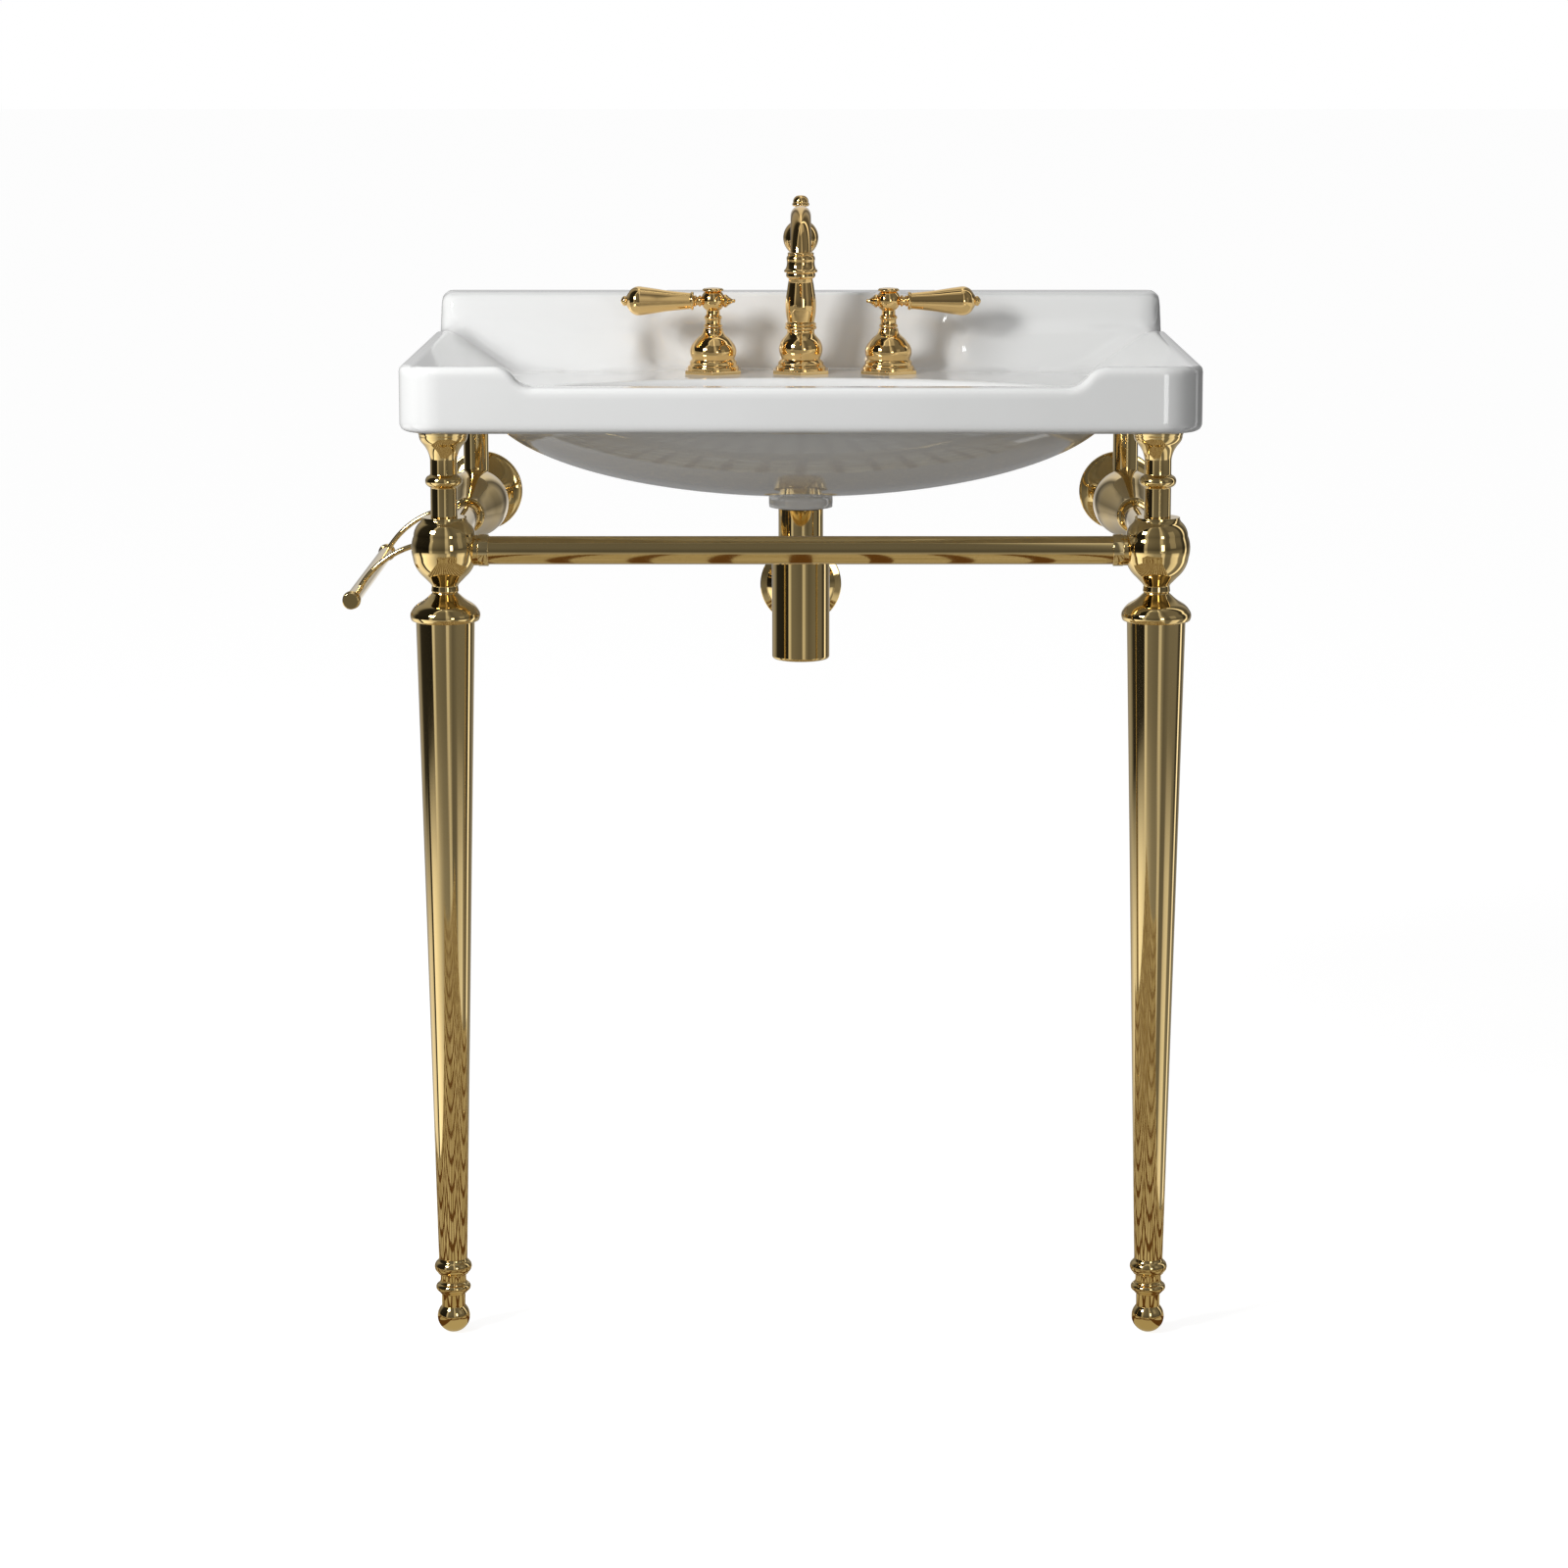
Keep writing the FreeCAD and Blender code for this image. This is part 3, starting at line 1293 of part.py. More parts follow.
def make_spout_base():
    """Flange, tier and bulb, in one piece with the hollow threaded shank."""
    drop, bore = s.spout_shank_below_deck, s.spout_shank_bore
    body = turned("spout_base", [
        (bore, -drop),
        (s.shank_radius, -drop),
        (s.shank_radius, 0.0),
        (s.spout_tier_radius, 0.0),
        (s.spout_tier_radius, s.spout_tier_top),
        (s.spout_shoulder_radius, s.spout_shoulder_rise),
        (s.spout_bulb_radius, s.spout_bulb_rise, s.spout_base_top_radius, s.spout_base_top),
        (bore, s.spout_base_top),
    ])
    prism(body, "XY_Plane", hexagon(s.flange_corner_radius), 0.0, s.flange_thickness)
    disc(body, "XY_Plane", 0.0, 0.0, bore, -CUT_PAST, s.tier_top, cut=True)
    keep("spout_base", place(body, 0.0, s.tap_from_wall, deck_height))


def make_spout_column():
    """Two rings, a vase-shaped column and the ball, bored for the lift rod and the water."""
    neck, foot = s.spout_column_radius, s.spout_base_top
    second = foot + s.spout_ring_width
    ball, rise = s.spout_ball_radius, s.spout_ball_rise
    ball_foot = rise - root(ball * ball - s.spout_neck_radius * s.spout_neck_radius)
    body = turned("spout_column", [
        (0.0, foot),
        (neck, foot),
        bead(s.spout_ring_radius, neck, foot, s.spout_ring_width),
        bead(s.spout_ring_radius, neck, second, s.spout_ring_width),
        (s.spout_column_swell_radius, s.spout_column_swell_rise,
         s.spout_column_top_radius, s.spout_column_top_rise),
        (s.spout_neck_radius, s.spout_neck_rise),
        (s.spout_neck_radius, ball_foot),
        (ball, rise, 0.0, rise + ball),
    ])
    rod = s.lift_rod_radius + s.running
    disc(body, "XY_Plane", 0.0, s.lift_rod_behind_tap, rod, foot - CUT_PAST, rise, cut=True)
    forward, water = -s.port_forward, s.waterway_radius
    disc(body, "XY_Plane", 0.0, forward, s.riser_radius + s.slip, foot - CUT_PAST,
         s.riser_top_rise - foot + CUT_PAST, cut=True)
    disc(body, "XY_Plane", 0.0, forward, water, foot, rise - foot, cut=True)
    disc(body, "XZ_Plane", 0.0, rise, water, s.port_forward, ball, cut=True)
    keep("spout_column", place(body, 0.0, s.tap_from_wall, deck_height))


def spout_route():
    """From the outlet up a quarter turn, then over a long arc to the ball's centre."""
    drop, crown = s.spout_drop_radius, s.spout_crown_rise
    foot = crown - drop
    run, fall = s.spout_reach - drop, crown - s.spout_ball_rise
    long_radius = (run * run + fall * fall) / (2 * fall)
    sag = long_radius - root(long_radius * long_radius - run * run / 4)
    bow = drop * MID_OF_QUARTER
    return foot, [
        (0.0, 0.0),
        (bow, drop - bow, drop, drop),
        (drop + run / 2, drop - sag, s.spout_reach, s.spout_ball_rise - foot),
    ]


def make_spout_tube():
    foot, route = spout_route()
    body = new_body("spout_tube")
    pipe(body, "XY_Plane", s.spout_tube_radius, s.spout_tube_bore, route)
    bore = s.spout_tube_bore
    inside = s.aerator_radius
    lip, top = s.outlet_lip_rise - foot, s.outlet_ring_rise - foot
    seat = lip + s.aerator_seat
    revolve(body, [
        (inside, lip),
        (s.outlet_lip_radius, lip),
        (s.outlet_lip_radius, lip + 2.0),
        (s.outlet_bell_radius, lip + 5.0, s.outlet_bell_radius, top - 5.0),
        (s.outlet_ring_radius + 1.6, top - 2.5, s.outlet_ring_radius, top),
        (bore + 1.0, top),
        (bore + 1.0, seat + 2.0),
        (inside, seat),
    ])
    ball = body.newObject("PartDesign::SubtractiveSphere", "ball_seat")
    bind(ball, "Radius", s.spout_ball_radius)
    ball.Placement = Placement(Vector(0, float(s.spout_reach), float(s.spout_ball_rise - foot)), Rotation())
    ball.setExpression("Placement.Base.y", s.spout_reach.text)
    ball.setExpression("Placement.Base.z", (s.spout_ball_rise - foot).text)
    from_wall = s.tap_from_wall + s.spout_reach
    keep("spout_tube", place(body, 0.0, from_wall, deck_height + foot))

    tip = s.aerator_tip_rise
    step, mouth = s.aerator_step_rise - tip, s.outlet_lip_rise - tip
    aerator = turned("aerator", [
        (s.aerator_bore, 0.0),
        (s.aerator_tip_radius, 0.0),
        (s.aerator_tip_radius, step),
        (s.aerator_radius + 1.2, step),
        (s.aerator_radius + 1.2, mouth),
        (s.aerator_radius - s.running, mouth),
        (s.aerator_radius - s.running, mouth + s.aerator_seat - 1.0),
        (s.aerator_bore, mouth + s.aerator_seat - 1.0),
    ])
    keep("aerator", place(aerator, 0.0, from_wall, deck_height + tip))


def make_riser():
    """The water pipe inside the spout's shank, with the tee for the two mixer tubes."""
    length = s.port_below_deck + s.riser_top_rise - s.slip
    body = new_body("spout_riser")
    disc(body, "XY_Plane", 0.0, 0.0, s.riser_radius, 0.0, length)
    disc(body, "YZ_Plane", 0.0, 0.0, s.port_radius, -s.port_reach, 2 * s.port_reach)
    water = s.waterway_radius
    disc(body, "XY_Plane", 0.0, 0.0, water, 0.0, length + CUT_PAST, cut=True)
    disc(body, "YZ_Plane", 0.0, 0.0, water, -s.port_reach - CUT_PAST, 2 * s.port_reach + 2, cut=True)
    from_wall = s.tap_from_wall + s.port_forward
    keep("spout_riser", place(body, 0.0, from_wall, deck_height - s.port_below_deck))


# Legs


def make_foot(name, x):
    ball, neck, waist = s.foot_ball_radius, s.foot_neck_radius, s.foot_waist_radius
    ring_foot = s.foot_neck_end
    waist_foot = ring_foot + s.foot_ring_width
    crown_foot = waist_foot + s.foot_waist_length
    ball_end = ball + root(ball * ball - neck * neck)
    body = turned(name, [
        (0.0, foot_pad_rise),
        (s.foot_pad_radius, foot_pad_rise),
        (ball, ball, neck, ball_end),
        (neck, ring_foot),
        bead(s.foot_ring_radius, waist, ring_foot, s.foot_ring_width),
        (waist, crown_foot),
        bead(s.foot_crown_radius, s.shaft_foot_radius, crown_foot, s.foot_crown_width),
        (0.0, foot_height),
    ])
    keep(name, place(body, x, leg_from_wall, -foot_pad_rise))


def make_shaft(name, x):
    """The long tapered tube, bored at the top for the leg's threaded stud."""
    foot = foot_height - foot_pad_rise
    length = shaft_top - foot
    bore = s.leg_stud_radius + s.slip
    stud_foot = rail_height + s.leg_stud_above_rail - s.leg_stud_length
    depth = stud_foot - foot - s.slip
    body = turned(name, [
        (0.0, 0.0),
        (s.shaft_foot_radius, 0.0),
        (s.shaft_top_radius, length),
        (bore, length),
        (bore, depth),
        (0.0, depth),
    ])
    keep(name, place(body, x, leg_from_wall, foot))


def make_leg_collar(name, x):
    bore, height = s.leg_stud_radius + s.slip, s.leg_collar_height
    body = turned(name, [
        (bore, 0.0),
        (s.leg_collar_foot_radius, 0.0),
        (s.leg_collar_radius, s.leg_collar_lip, s.leg_collar_foot_radius, s.leg_collar_lip * 2.5),
        (s.leg_collar_waist_radius + 3.0, s.leg_collar_waist_rise - 3.4,
         s.leg_collar_waist_radius, s.leg_collar_waist_rise),
        (s.leg_collar_top_radius, height),
        (bore, height),
    ])
    keep(name, place(body, x, leg_from_wall, shaft_top))


def make_hub(name, x, side):
    """The pear-shaped hub, with sockets for the front rail and the side rail."""
    bore, drop = s.leg_stud_radius + s.slip, s.hub_drop
    top = drop + s.hub_rise
    body = turned(name, [
        (bore, 0.0),
        (s.hub_foot_radius - 1.0, 0.0),
        (s.hub_foot_radius, s.hub_foot_length),
        (s.hub_swell_radius, drop - s.hub_swell_drop),
        (s.hub_radius, drop + s.hub_widest_rise, s.hub_shoulder_radius, drop + s.hub_shoulder_rise),
        (s.hub_top_radius, top - s.hub_top_edge),
        (s.hub_top_radius, top),
        (bore, top),
    ])
    reach, near = s.rail_boss_reach, s.rail_socket_reach
    boss_start = near if side == LEFT else -reach
    disc(body, "YZ_Plane", 0.0, drop, s.rail_boss_radius, boss_start, reach - near)
    disc(body, "XZ_Plane", 0.0, drop, s.rail_boss_radius, -reach, reach - near)
    socket = s.rail_radius + s.slip
    depth = reach - near + CUT_PAST
    socket_start = near - s.slip if side == LEFT else -reach - CUT_PAST
    disc(body, "YZ_Plane", 0.0, drop, socket, socket_start, depth + s.slip, cut=True)
    disc(body, "XZ_Plane", 0.0, drop, socket, -reach - CUT_PAST, depth + s.slip, cut=True)
    keep(name, place(body, x, leg_from_wall, rail_height - drop))


def make_top_post(name, x):
    """Plain neck, ring and trumpet flare, up to the basin's underside."""
    foot = rail_height + s.hub_rise
    length = s.underside_height - foot
    bore, neck = s.leg_stud_radius + s.slip, s.post_neck_radius
    ring_foot = length - s.post_ring_below_top
    flare = length - s.flare_height
    stud_top = s.leg_stud_above_rail - s.hub_rise + s.slip
    body = turned(name, [
        (bore, 0.0),
        (neck, 0.0),
        (neck, ring_foot),
        bead(s.post_ring_radius, neck, ring_foot, s.post_ring_width),
        (neck, flare),
        (s.flare_waist_radius - 1.6, flare + s.flare_waist_rise - 2.5,
         s.flare_mid_radius, flare + s.flare_mid_rise),
        (s.flare_top_radius, length),
        (0.0, length),
        (0.0, stud_top),
        (bore, stud_top),
    ])
    keep(name, place(body, x, leg_from_wall, foot))


def make_legs():
    studs = []
    for word, side in SIDES.items():
        x = leg_x * side
        make_foot(word + "_foot", x)
        make_shaft(word + "_leg_shaft", x)
        make_leg_collar(word + "_leg_collar", x)
        make_hub(word + "_hub", x, side)
        make_top_post(word + "_top_post", x)
        stud = straight_rod("leg_stud", s.leg_stud_radius, s.leg_stud_length)
        top = rail_height + s.leg_stud_above_rail
        studs.append(place(stud, x, leg_from_wall, top - s.leg_stud_length))
    group("leg_studs", studs)


# Rails, rear brackets and posts


def make_rails():
    near = s.rail_socket_reach
    front = straight_rod("front_rail", s.rail_radius, (leg_x - near) * 2)
    place(front, near - leg_x, leg_from_wall, rail_height, TO_RIGHT)
    keep("front_rail", front)
    start = leg_from_wall - near
    rear = s.bracket_front - s.bracket_socket_depth
    for word, side in SIDES.items():
        rail = straight_rod(word + "_side_rail", s.rail_radius, start - rear)
        place(rail, leg_x * side, start, rail_height, TO_WALL)
        keep(word + "_side_rail", rail)
    collars = []
    width = s.rail_collar_end - s.rail_boss_reach
    sleeve = ring(s.rail_radius + s.slip, s.rail_collar_radius, width)
    for side in SIDES.values():
        along_x = turned("collar", sleeve)
        offset = s.rail_boss_reach if side == LEFT else s.rail_collar_end
        x = leg_x * side + (offset if side == LEFT else -offset)
        collars.append(place(along_x, x, leg_from_wall, rail_height, TO_RIGHT))
        along_y = turned("collar", sleeve)
        from_wall = leg_from_wall - s.rail_boss_reach
        collars.append(place(along_y, leg_x * side, from_wall, rail_height, TO_WALL))
    group("rail_collars", collars)


def make_bracket(name, x):
    """The urn-shaped rear bracket, turned about a level axis out from the wall."""
    front = s.bracket_front
    stud = s.stud_shank_radius + s.running
    socket = s.rail_radius + s.slip
    root_radius = s.bracket_root_radius
    body = turned(name, [
        (stud, 0.0),
        (root_radius, 0.0),
        (root_radius, s.bracket_root_length),
        (s.bracket_waist_radius, s.bracket_waist_from_wall),
        (s.bracket_radius, s.bracket_bulge_from_wall, s.bracket_cone_radius, s.bracket_cone_from_wall),
        (s.bracket_neck_radius, s.bracket_neck_from_wall),
        (s.bracket_neck_radius, front - s.bracket_front_ring),
        (s.bracket_front_radius, front - s.bracket_front_ring / 2, s.bracket_neck_radius, front),
        (socket, front),
        (socket, front - s.bracket_socket_depth - s.slip),
        (0.0, front - s.bracket_socket_depth - s.slip),
        (0.0, s.stud_out_of_wall + s.slip),
        (stud, s.stud_out_of_wall + s.slip),
    ])
    post_from_wall = s.rear_post_from_wall
    hole = s.rear_post_radius + s.slip
    # The body's Y axis points up here, and the plane's normal points down.
    top = s.bracket_radius + CUT_PAST
    depth = top - s.rear_post_depth_in_bracket
    disc(body, "XZ_Plane", 0.0, post_from_wall, hole, -top, depth, cut=True)
    keep(name, place(body, x, 0.0, rail_height, TO_FRONT))


def make_rear_supports():
    for word, side in SIDES.items():
        x = leg_x * side
        make_bracket(word + "_rear_bracket", x)
        foot = rail_height + s.rear_post_depth_in_bracket
        post = straight_rod(word + "_rear_post", s.rear_post_radius, s.underside_height - foot)
        keep(word + "_rear_post", place(post, x, s.rear_post_from_wall, foot))
        inner = s.bracket_root_radius + s.slip
        flange = turned(word + "_wall_flange", [
            (inner, 0.0),
            (s.wall_flange_radius, 0.0),
            (s.wall_flange_radius, s.wall_flange_lip),
            (s.wall_flange_dome_radius, s.wall_flange_lip + 1.4),
            ((s.wall_flange_dome_radius + inner) / 2 + 2.0, s.wall_flange_depth * 0.75,
             inner + 1.0, s.wall_flange_depth),
            (inner, s.wall_flange_depth),
        ])
        keep(word + "_wall_flange", place(flange, x, 0.0, rail_height, TO_FRONT))


# Towel bar


def make_arm(name, from_wall, root_piece, bar):
    """A thin arched arm, cut to the piece that it grows from and to the bar."""
    arc = doc.addObject("Part::Torus", name + "_arc")
    bind(arc, "Radius1", s.arm_bend_radius)
    bind(arc, "Radius2", s.arm_radius)
    bind(arc, "Angle3", s.arm_turn)
    upright = Rotation(Vector(0, 0, 1), Vector(-1, 0, 0), Vector(0, -1, 0), "XYZ")
    place(arc, arm_centre_x, from_wall, arm_centre_height, upright)
    first = subtract(name + "_root", arc, root_piece)
    keep(name, subtract(name, first, bar))


def make_towel_bar():
    rear, long = s.towel_bar_rear_from_wall, s.towel_bar_length
    cap = s.towel_cap_length
    bar = straight_rod("towel_bar", s.towel_bar_radius, long - 2 * cap)
    place(bar, towel_bar_x, rear + long - cap, towel_bar_height, TO_WALL)
    keep("towel_bar", bar)

    inner = s.towel_bar_radius + s.slip
    caps = []
    for from_wall, turn in ((rear + long, TO_WALL), (rear, TO_FRONT)):
        end = turned("cap", [
            (0.0, 0.0),
            (s.towel_cap_radius, 0.0),
            (s.towel_cap_radius, cap),
            bead(s.towel_ring_radius, s.towel_bar_radius + 0.5, cap, s.towel_ring_width),
            (inner, cap + s.towel_ring_width),
            (inner, cap),
            (0.0, cap),
        ])
        caps.append(place(end, towel_bar_x, from_wall, towel_bar_height, turn))
    group("towel_bar_caps", caps)

    clamp = turned("towel_arm_clamp", ring(s.rail_radius + s.slip, s.clamp_radius, s.clamp_width))
    # With its Z axis to the wall the clamp's Y axis points down, and its X axis to the right.
    drop = s.arm_centre_below_rail - s.arm_bend_radius
    start, reach = -s.clamp_boss_reach, s.clamp_boss_reach - s.rail_radius
    disc(clamp, "YZ_Plane", drop, s.clamp_width / 2, s.clamp_boss_radius, start, reach)
    disc(clamp, "XY_Plane", 0.0, 0.0, s.rail_radius + s.slip, -CUT_PAST,
         s.clamp_width + 2 * CUT_PAST, cut=True)
    from_wall = s.front_arm_from_wall + s.clamp_width / 2
    keep("towel_arm_clamp", place(clamp, -leg_x, from_wall, rail_height, TO_WALL))

    make_arm("front_towel_arm", s.front_arm_from_wall, clamp, bar)
    make_arm("rear_towel_arm", s.rear_post_from_wall, nodes["left_rear_bracket"], bar)


# Build, check and write


def check_document():
    """Stop if any object failed, or any piece has no sound shape."""
    doc.recompute()
    for thing in doc.Objects:
        if "Invalid" in thing.State or "Error" in thing.State:
            raise RuntimeError(f"{thing.Label} ({thing.Name}) is {thing.State}")
    for label, thing in nodes.items():
        shape = thing.Shape
        if shape.isNull() or not shape.isValid() or not shape.Solids:
            raise RuntimeError(f"{label} has no sound shape")


def write_pieces():
    os.makedirs("parts", exist_ok=True)
    for label, thing in nodes.items():
        thing.Shape.exportStep(f"parts/{label}.step")
        print(f"{label}: {len(thing.Shape.Solids)} solid(s), {thing.Shape.Volume / 1000:.2f} cm3")


make_basin()
make_wall_fixings()
make_drain()
make_stopper()
make_pivot()
make_lift_rod()
make_strap()
make_trap()
make_outlet()
make_taps()
make_spout_base()
make_spout_column()
make_spout_tube()
make_riser()
make_legs()
make_rails()
make_rear_supports()
make_towel_bar()
check_document()
write_pieces()
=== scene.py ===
# %% [markdown]
# # A console basin on turned gold legs
# The real object is a white glazed basin. Two turned front legs carry it, and level
# rails tie the legs to urn-shaped brackets on the wall. The CAD model is loaded first
# as a frame, and every finished piece is then placed on it in the same coordinates:
# x to the right, y into the wall, z up, in metres, from the middle of the wall bolts.

# %% Load the frame
import json
import math
import bmesh
import bpy
from mathutils import Matrix, Vector


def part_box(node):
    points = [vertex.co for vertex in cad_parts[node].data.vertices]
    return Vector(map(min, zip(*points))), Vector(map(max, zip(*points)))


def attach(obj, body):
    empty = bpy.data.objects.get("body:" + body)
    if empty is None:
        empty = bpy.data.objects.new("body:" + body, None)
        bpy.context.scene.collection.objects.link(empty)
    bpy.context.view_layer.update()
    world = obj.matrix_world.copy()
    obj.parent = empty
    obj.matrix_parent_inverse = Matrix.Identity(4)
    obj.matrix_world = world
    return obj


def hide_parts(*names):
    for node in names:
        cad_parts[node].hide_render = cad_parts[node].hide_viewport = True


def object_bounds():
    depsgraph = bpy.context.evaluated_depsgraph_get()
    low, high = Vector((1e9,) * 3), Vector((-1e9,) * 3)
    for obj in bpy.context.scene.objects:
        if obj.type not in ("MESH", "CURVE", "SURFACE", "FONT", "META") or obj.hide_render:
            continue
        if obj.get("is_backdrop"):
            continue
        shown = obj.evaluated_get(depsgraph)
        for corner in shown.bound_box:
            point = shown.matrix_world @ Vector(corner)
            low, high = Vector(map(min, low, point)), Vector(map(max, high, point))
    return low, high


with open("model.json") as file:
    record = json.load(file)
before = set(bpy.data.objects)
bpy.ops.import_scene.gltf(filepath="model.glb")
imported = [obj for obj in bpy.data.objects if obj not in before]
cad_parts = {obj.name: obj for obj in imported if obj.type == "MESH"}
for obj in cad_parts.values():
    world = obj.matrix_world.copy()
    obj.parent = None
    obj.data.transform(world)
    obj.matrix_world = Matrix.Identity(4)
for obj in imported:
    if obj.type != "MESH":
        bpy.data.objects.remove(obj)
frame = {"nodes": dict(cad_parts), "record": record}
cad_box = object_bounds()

scene = bpy.context.scene
print("CAD pieces:", len(frame["nodes"]))

# %% [markdown]
# ## Where things are
# The drawings of this basin give heights above the floor and distances from the wall,
# in millimetres. One small function turns such a place into the frame's metres, so the
# numbers below can be read next to a tape measure.

# %% Places in the frame
MM = 0.001
FLOOR_TO_BOLTS = 855.0
DECK = 837.0
LEG_X, LEG_FROM_WALL = 313.5, 444.0
RAIL_HEIGHT, RAIL_RADIUS = 712.0, 12.5
BOWL_FROM_WALL = 292.0
TAP_FROM_WALL, TAP_SPACING = 95.0, 84.0


def place(x, from_wall, height):
    """A point at x, at a distance from the wall and at a height above the floor."""
    return Vector((x, -from_wall, height - FLOOR_TO_BOLTS)) * MM


print("the tap deck is at z =", round(place(0, 0, DECK).z, 4))

# %% [markdown]
# ## Finishes: what varies over a surface
# No real finish is one flat colour. Polished gold has faint clouds where a cloth has
# dulled it, hair scratches, and brighter bare edges where hands rub it. These could be
# painted as pictures, but a node group that makes them from noise works at any
# distance. It is built once, and each material gives it its own colours and sizes.
# It puts out a colour, a roughness and a height, because only those change from place
# to place.

# %% The shared finish group
GRAIN_HEIGHT = 0.15


def add_socket(group, name, kind, direction, value=None):
    socket = group.interface.new_socket(name=name, in_out=direction, socket_type=kind)
    if value is not None:
        socket.default_value = value
    return socket


def build_finish_group():
    """Clouds, fine scratches and rubbed edges, from the object's own coordinates."""
    group = bpy.data.node_groups.new("Rubbed_Finish", "ShaderNodeTree")
    add_socket(group, "Colour", "NodeSocketColor", "INPUT", (0.8, 0.8, 0.8, 1))
    add_socket(group, "Cloud Colour", "NodeSocketColor", "INPUT", (0.7, 0.7, 0.7, 1))
    add_socket(group, "Edge Colour", "NodeSocketColor", "INPUT", (0.9, 0.9, 0.9, 1))
    add_socket(group, "Cloud Scale", "NodeSocketFloat", "INPUT", 12.0)
    add_socket(group, "Grain Scale", "NodeSocketFloat", "INPUT", 900.0)
    add_socket(group, "Smoothest", "NodeSocketFloat", "INPUT", 0.1)
    add_socket(group, "Roughest", "NodeSocketFloat", "INPUT", 0.2)
    add_socket(group, "Edge Roughness", "NodeSocketFloat", "INPUT", 0.05)
    add_socket(group, "Colour", "NodeSocketColor", "OUTPUT")
    add_socket(group, "Roughness", "NodeSocketFloat", "OUTPUT")
    add_socket(group, "Height", "NodeSocketFloat", "OUTPUT")
    nodes, link = group.nodes, group.links.new
    given = nodes.new("NodeGroupInput")
    result = nodes.new("NodeGroupOutput")
    where = nodes.new("ShaderNodeTexCoord")

    clouds = nodes.new("ShaderNodeTexNoise")
    clouds.inputs["Detail"].default_value = 4.0
    clouds.inputs["Roughness"].default_value = 0.6
    link(where.outputs["Object"], clouds.inputs["Vector"])
    link(given.outputs["Cloud Scale"], clouds.inputs["Scale"])

    grain = nodes.new("ShaderNodeTexNoise")
    grain.inputs["Detail"].default_value = 2.0
    link(where.outputs["Object"], grain.inputs["Vector"])
    link(given.outputs["Grain Scale"], grain.inputs["Scale"])

    patches = nodes.new("ShaderNodeMapRange")
    patches.inputs["From Min"].default_value = 0.35
    patches.inputs["From Max"].default_value = 0.68
    link(clouds.outputs["Fac"], patches.inputs["Value"])

    edges = nodes.new("ShaderNodeAttribute")
    edges.attribute_name = "rubbed"
    rubbed = nodes.new("ShaderNodeMath")
    rubbed.operation = "MULTIPLY"
    link(edges.outputs["Fac"], rubbed.inputs[0])
    link(grain.outputs["Fac"], rubbed.inputs[1])

    cloudy = nodes.new("ShaderNodeMix")
    cloudy.data_type = "RGBA"
    link(patches.outputs["Result"], cloudy.inputs["Factor"])
    link(given.outputs["Colour"], cloudy.inputs["A"])
    link(given.outputs["Cloud Colour"], cloudy.inputs["B"])
    edged = nodes.new("ShaderNodeMix")
    edged.data_type = "RGBA"
    link(rubbed.outputs["Value"], edged.inputs["Factor"])
    link(cloudy.outputs["Result"], edged.inputs["A"])
    link(given.outputs["Edge Colour"], edged.inputs["B"])
    link(edged.outputs["Result"], result.inputs["Colour"])

    polish = nodes.new("ShaderNodeMapRange")
    link(clouds.outputs["Fac"], polish.inputs["Value"])
    polish.inputs["From Min"].default_value = 0.3
    polish.inputs["From Max"].default_value = 0.7
    link(given.outputs["Smoothest"], polish.inputs["To Min"])
    link(given.outputs["Roughest"], polish.inputs["To Max"])
    worn = nodes.new("ShaderNodeMath")
    worn.operation = "MULTIPLY_ADD"
    link(rubbed.outputs["Value"], worn.inputs[0])
    link(given.outputs["Edge Roughness"], worn.inputs[1])
    link(polish.outputs["Result"], worn.inputs[2])
    link(worn.outputs["Value"], result.inputs["Roughness"])

    surface = nodes.new("ShaderNodeMath")
    surface.operation = "MULTIPLY_ADD"
    surface.inputs[1].default_value = GRAIN_HEIGHT
    link(grain.outputs["Fac"], surface.inputs[0])
    link(clouds.outputs["Fac"], surface.inputs[2])
    link(surface.outputs["Value"], result.inputs["Height"])
    return group


finish_group = build_finish_group()
sockets = finish_group.interface.items_tree
print("finish outputs:", [s.name for s in sockets if s.in_out == "OUTPUT"])

# %% [markdown]
# ## The five materials
# Each one is a Principled shader fed by the group above. What is the same all over,
# such as being metal or having a clear coat, is set on the shader's own sockets.
# The stand's gold is a little greener and darker than the taps' gold, as in the photo.
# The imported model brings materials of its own, which give up their names first.

# %% Make the materials
for packed in bpy.data.materials:
    packed.name = "packed_" + packed.name


def make_material(name, group_values, shader_values, bump, depth=0.0004):
    material = bpy.data.materials.new(name)
    material.use_nodes = True
    nodes, link = material.node_tree.nodes, material.node_tree.links.new
    shader = nodes["Principled BSDF"]
    finish = nodes.new("ShaderNodeGroup")
    finish.node_tree = finish_group
    for socket, value in group_values.items():
        finish.inputs[socket].default_value = value
    for socket, value in shader_values.items():
        shader.inputs[socket].default_value = value
    link(finish.outputs["Colour"], shader.inputs["Base Color"])
    link(finish.outputs["Roughness"], shader.inputs["Roughness"])
    relief = nodes.new("ShaderNodeBump")
    relief.inputs["Strength"].default_value = bump
    relief.inputs["Distance"].default_value = depth
    link(finish.outputs["Height"], relief.inputs["Height"])
    link(relief.outputs["Normal"], shader.inputs["Normal"])
    return material


STAND_GOLD = make_material("stand_gold", {
    "Colour": (0.80, 0.585, 0.25, 1),
    "Cloud Colour": (0.75, 0.54, 0.222, 1),
    "Edge Colour": (0.90, 0.74, 0.42, 1),
    "Cloud Scale": 9.0,
    "Grain Scale": 1400.0,
    "Smoothest": 0.018,
    "Roughest": 0.05,
    "Edge Roughness": 0.05,
}, {"Metallic": 1.0}, 0.006)

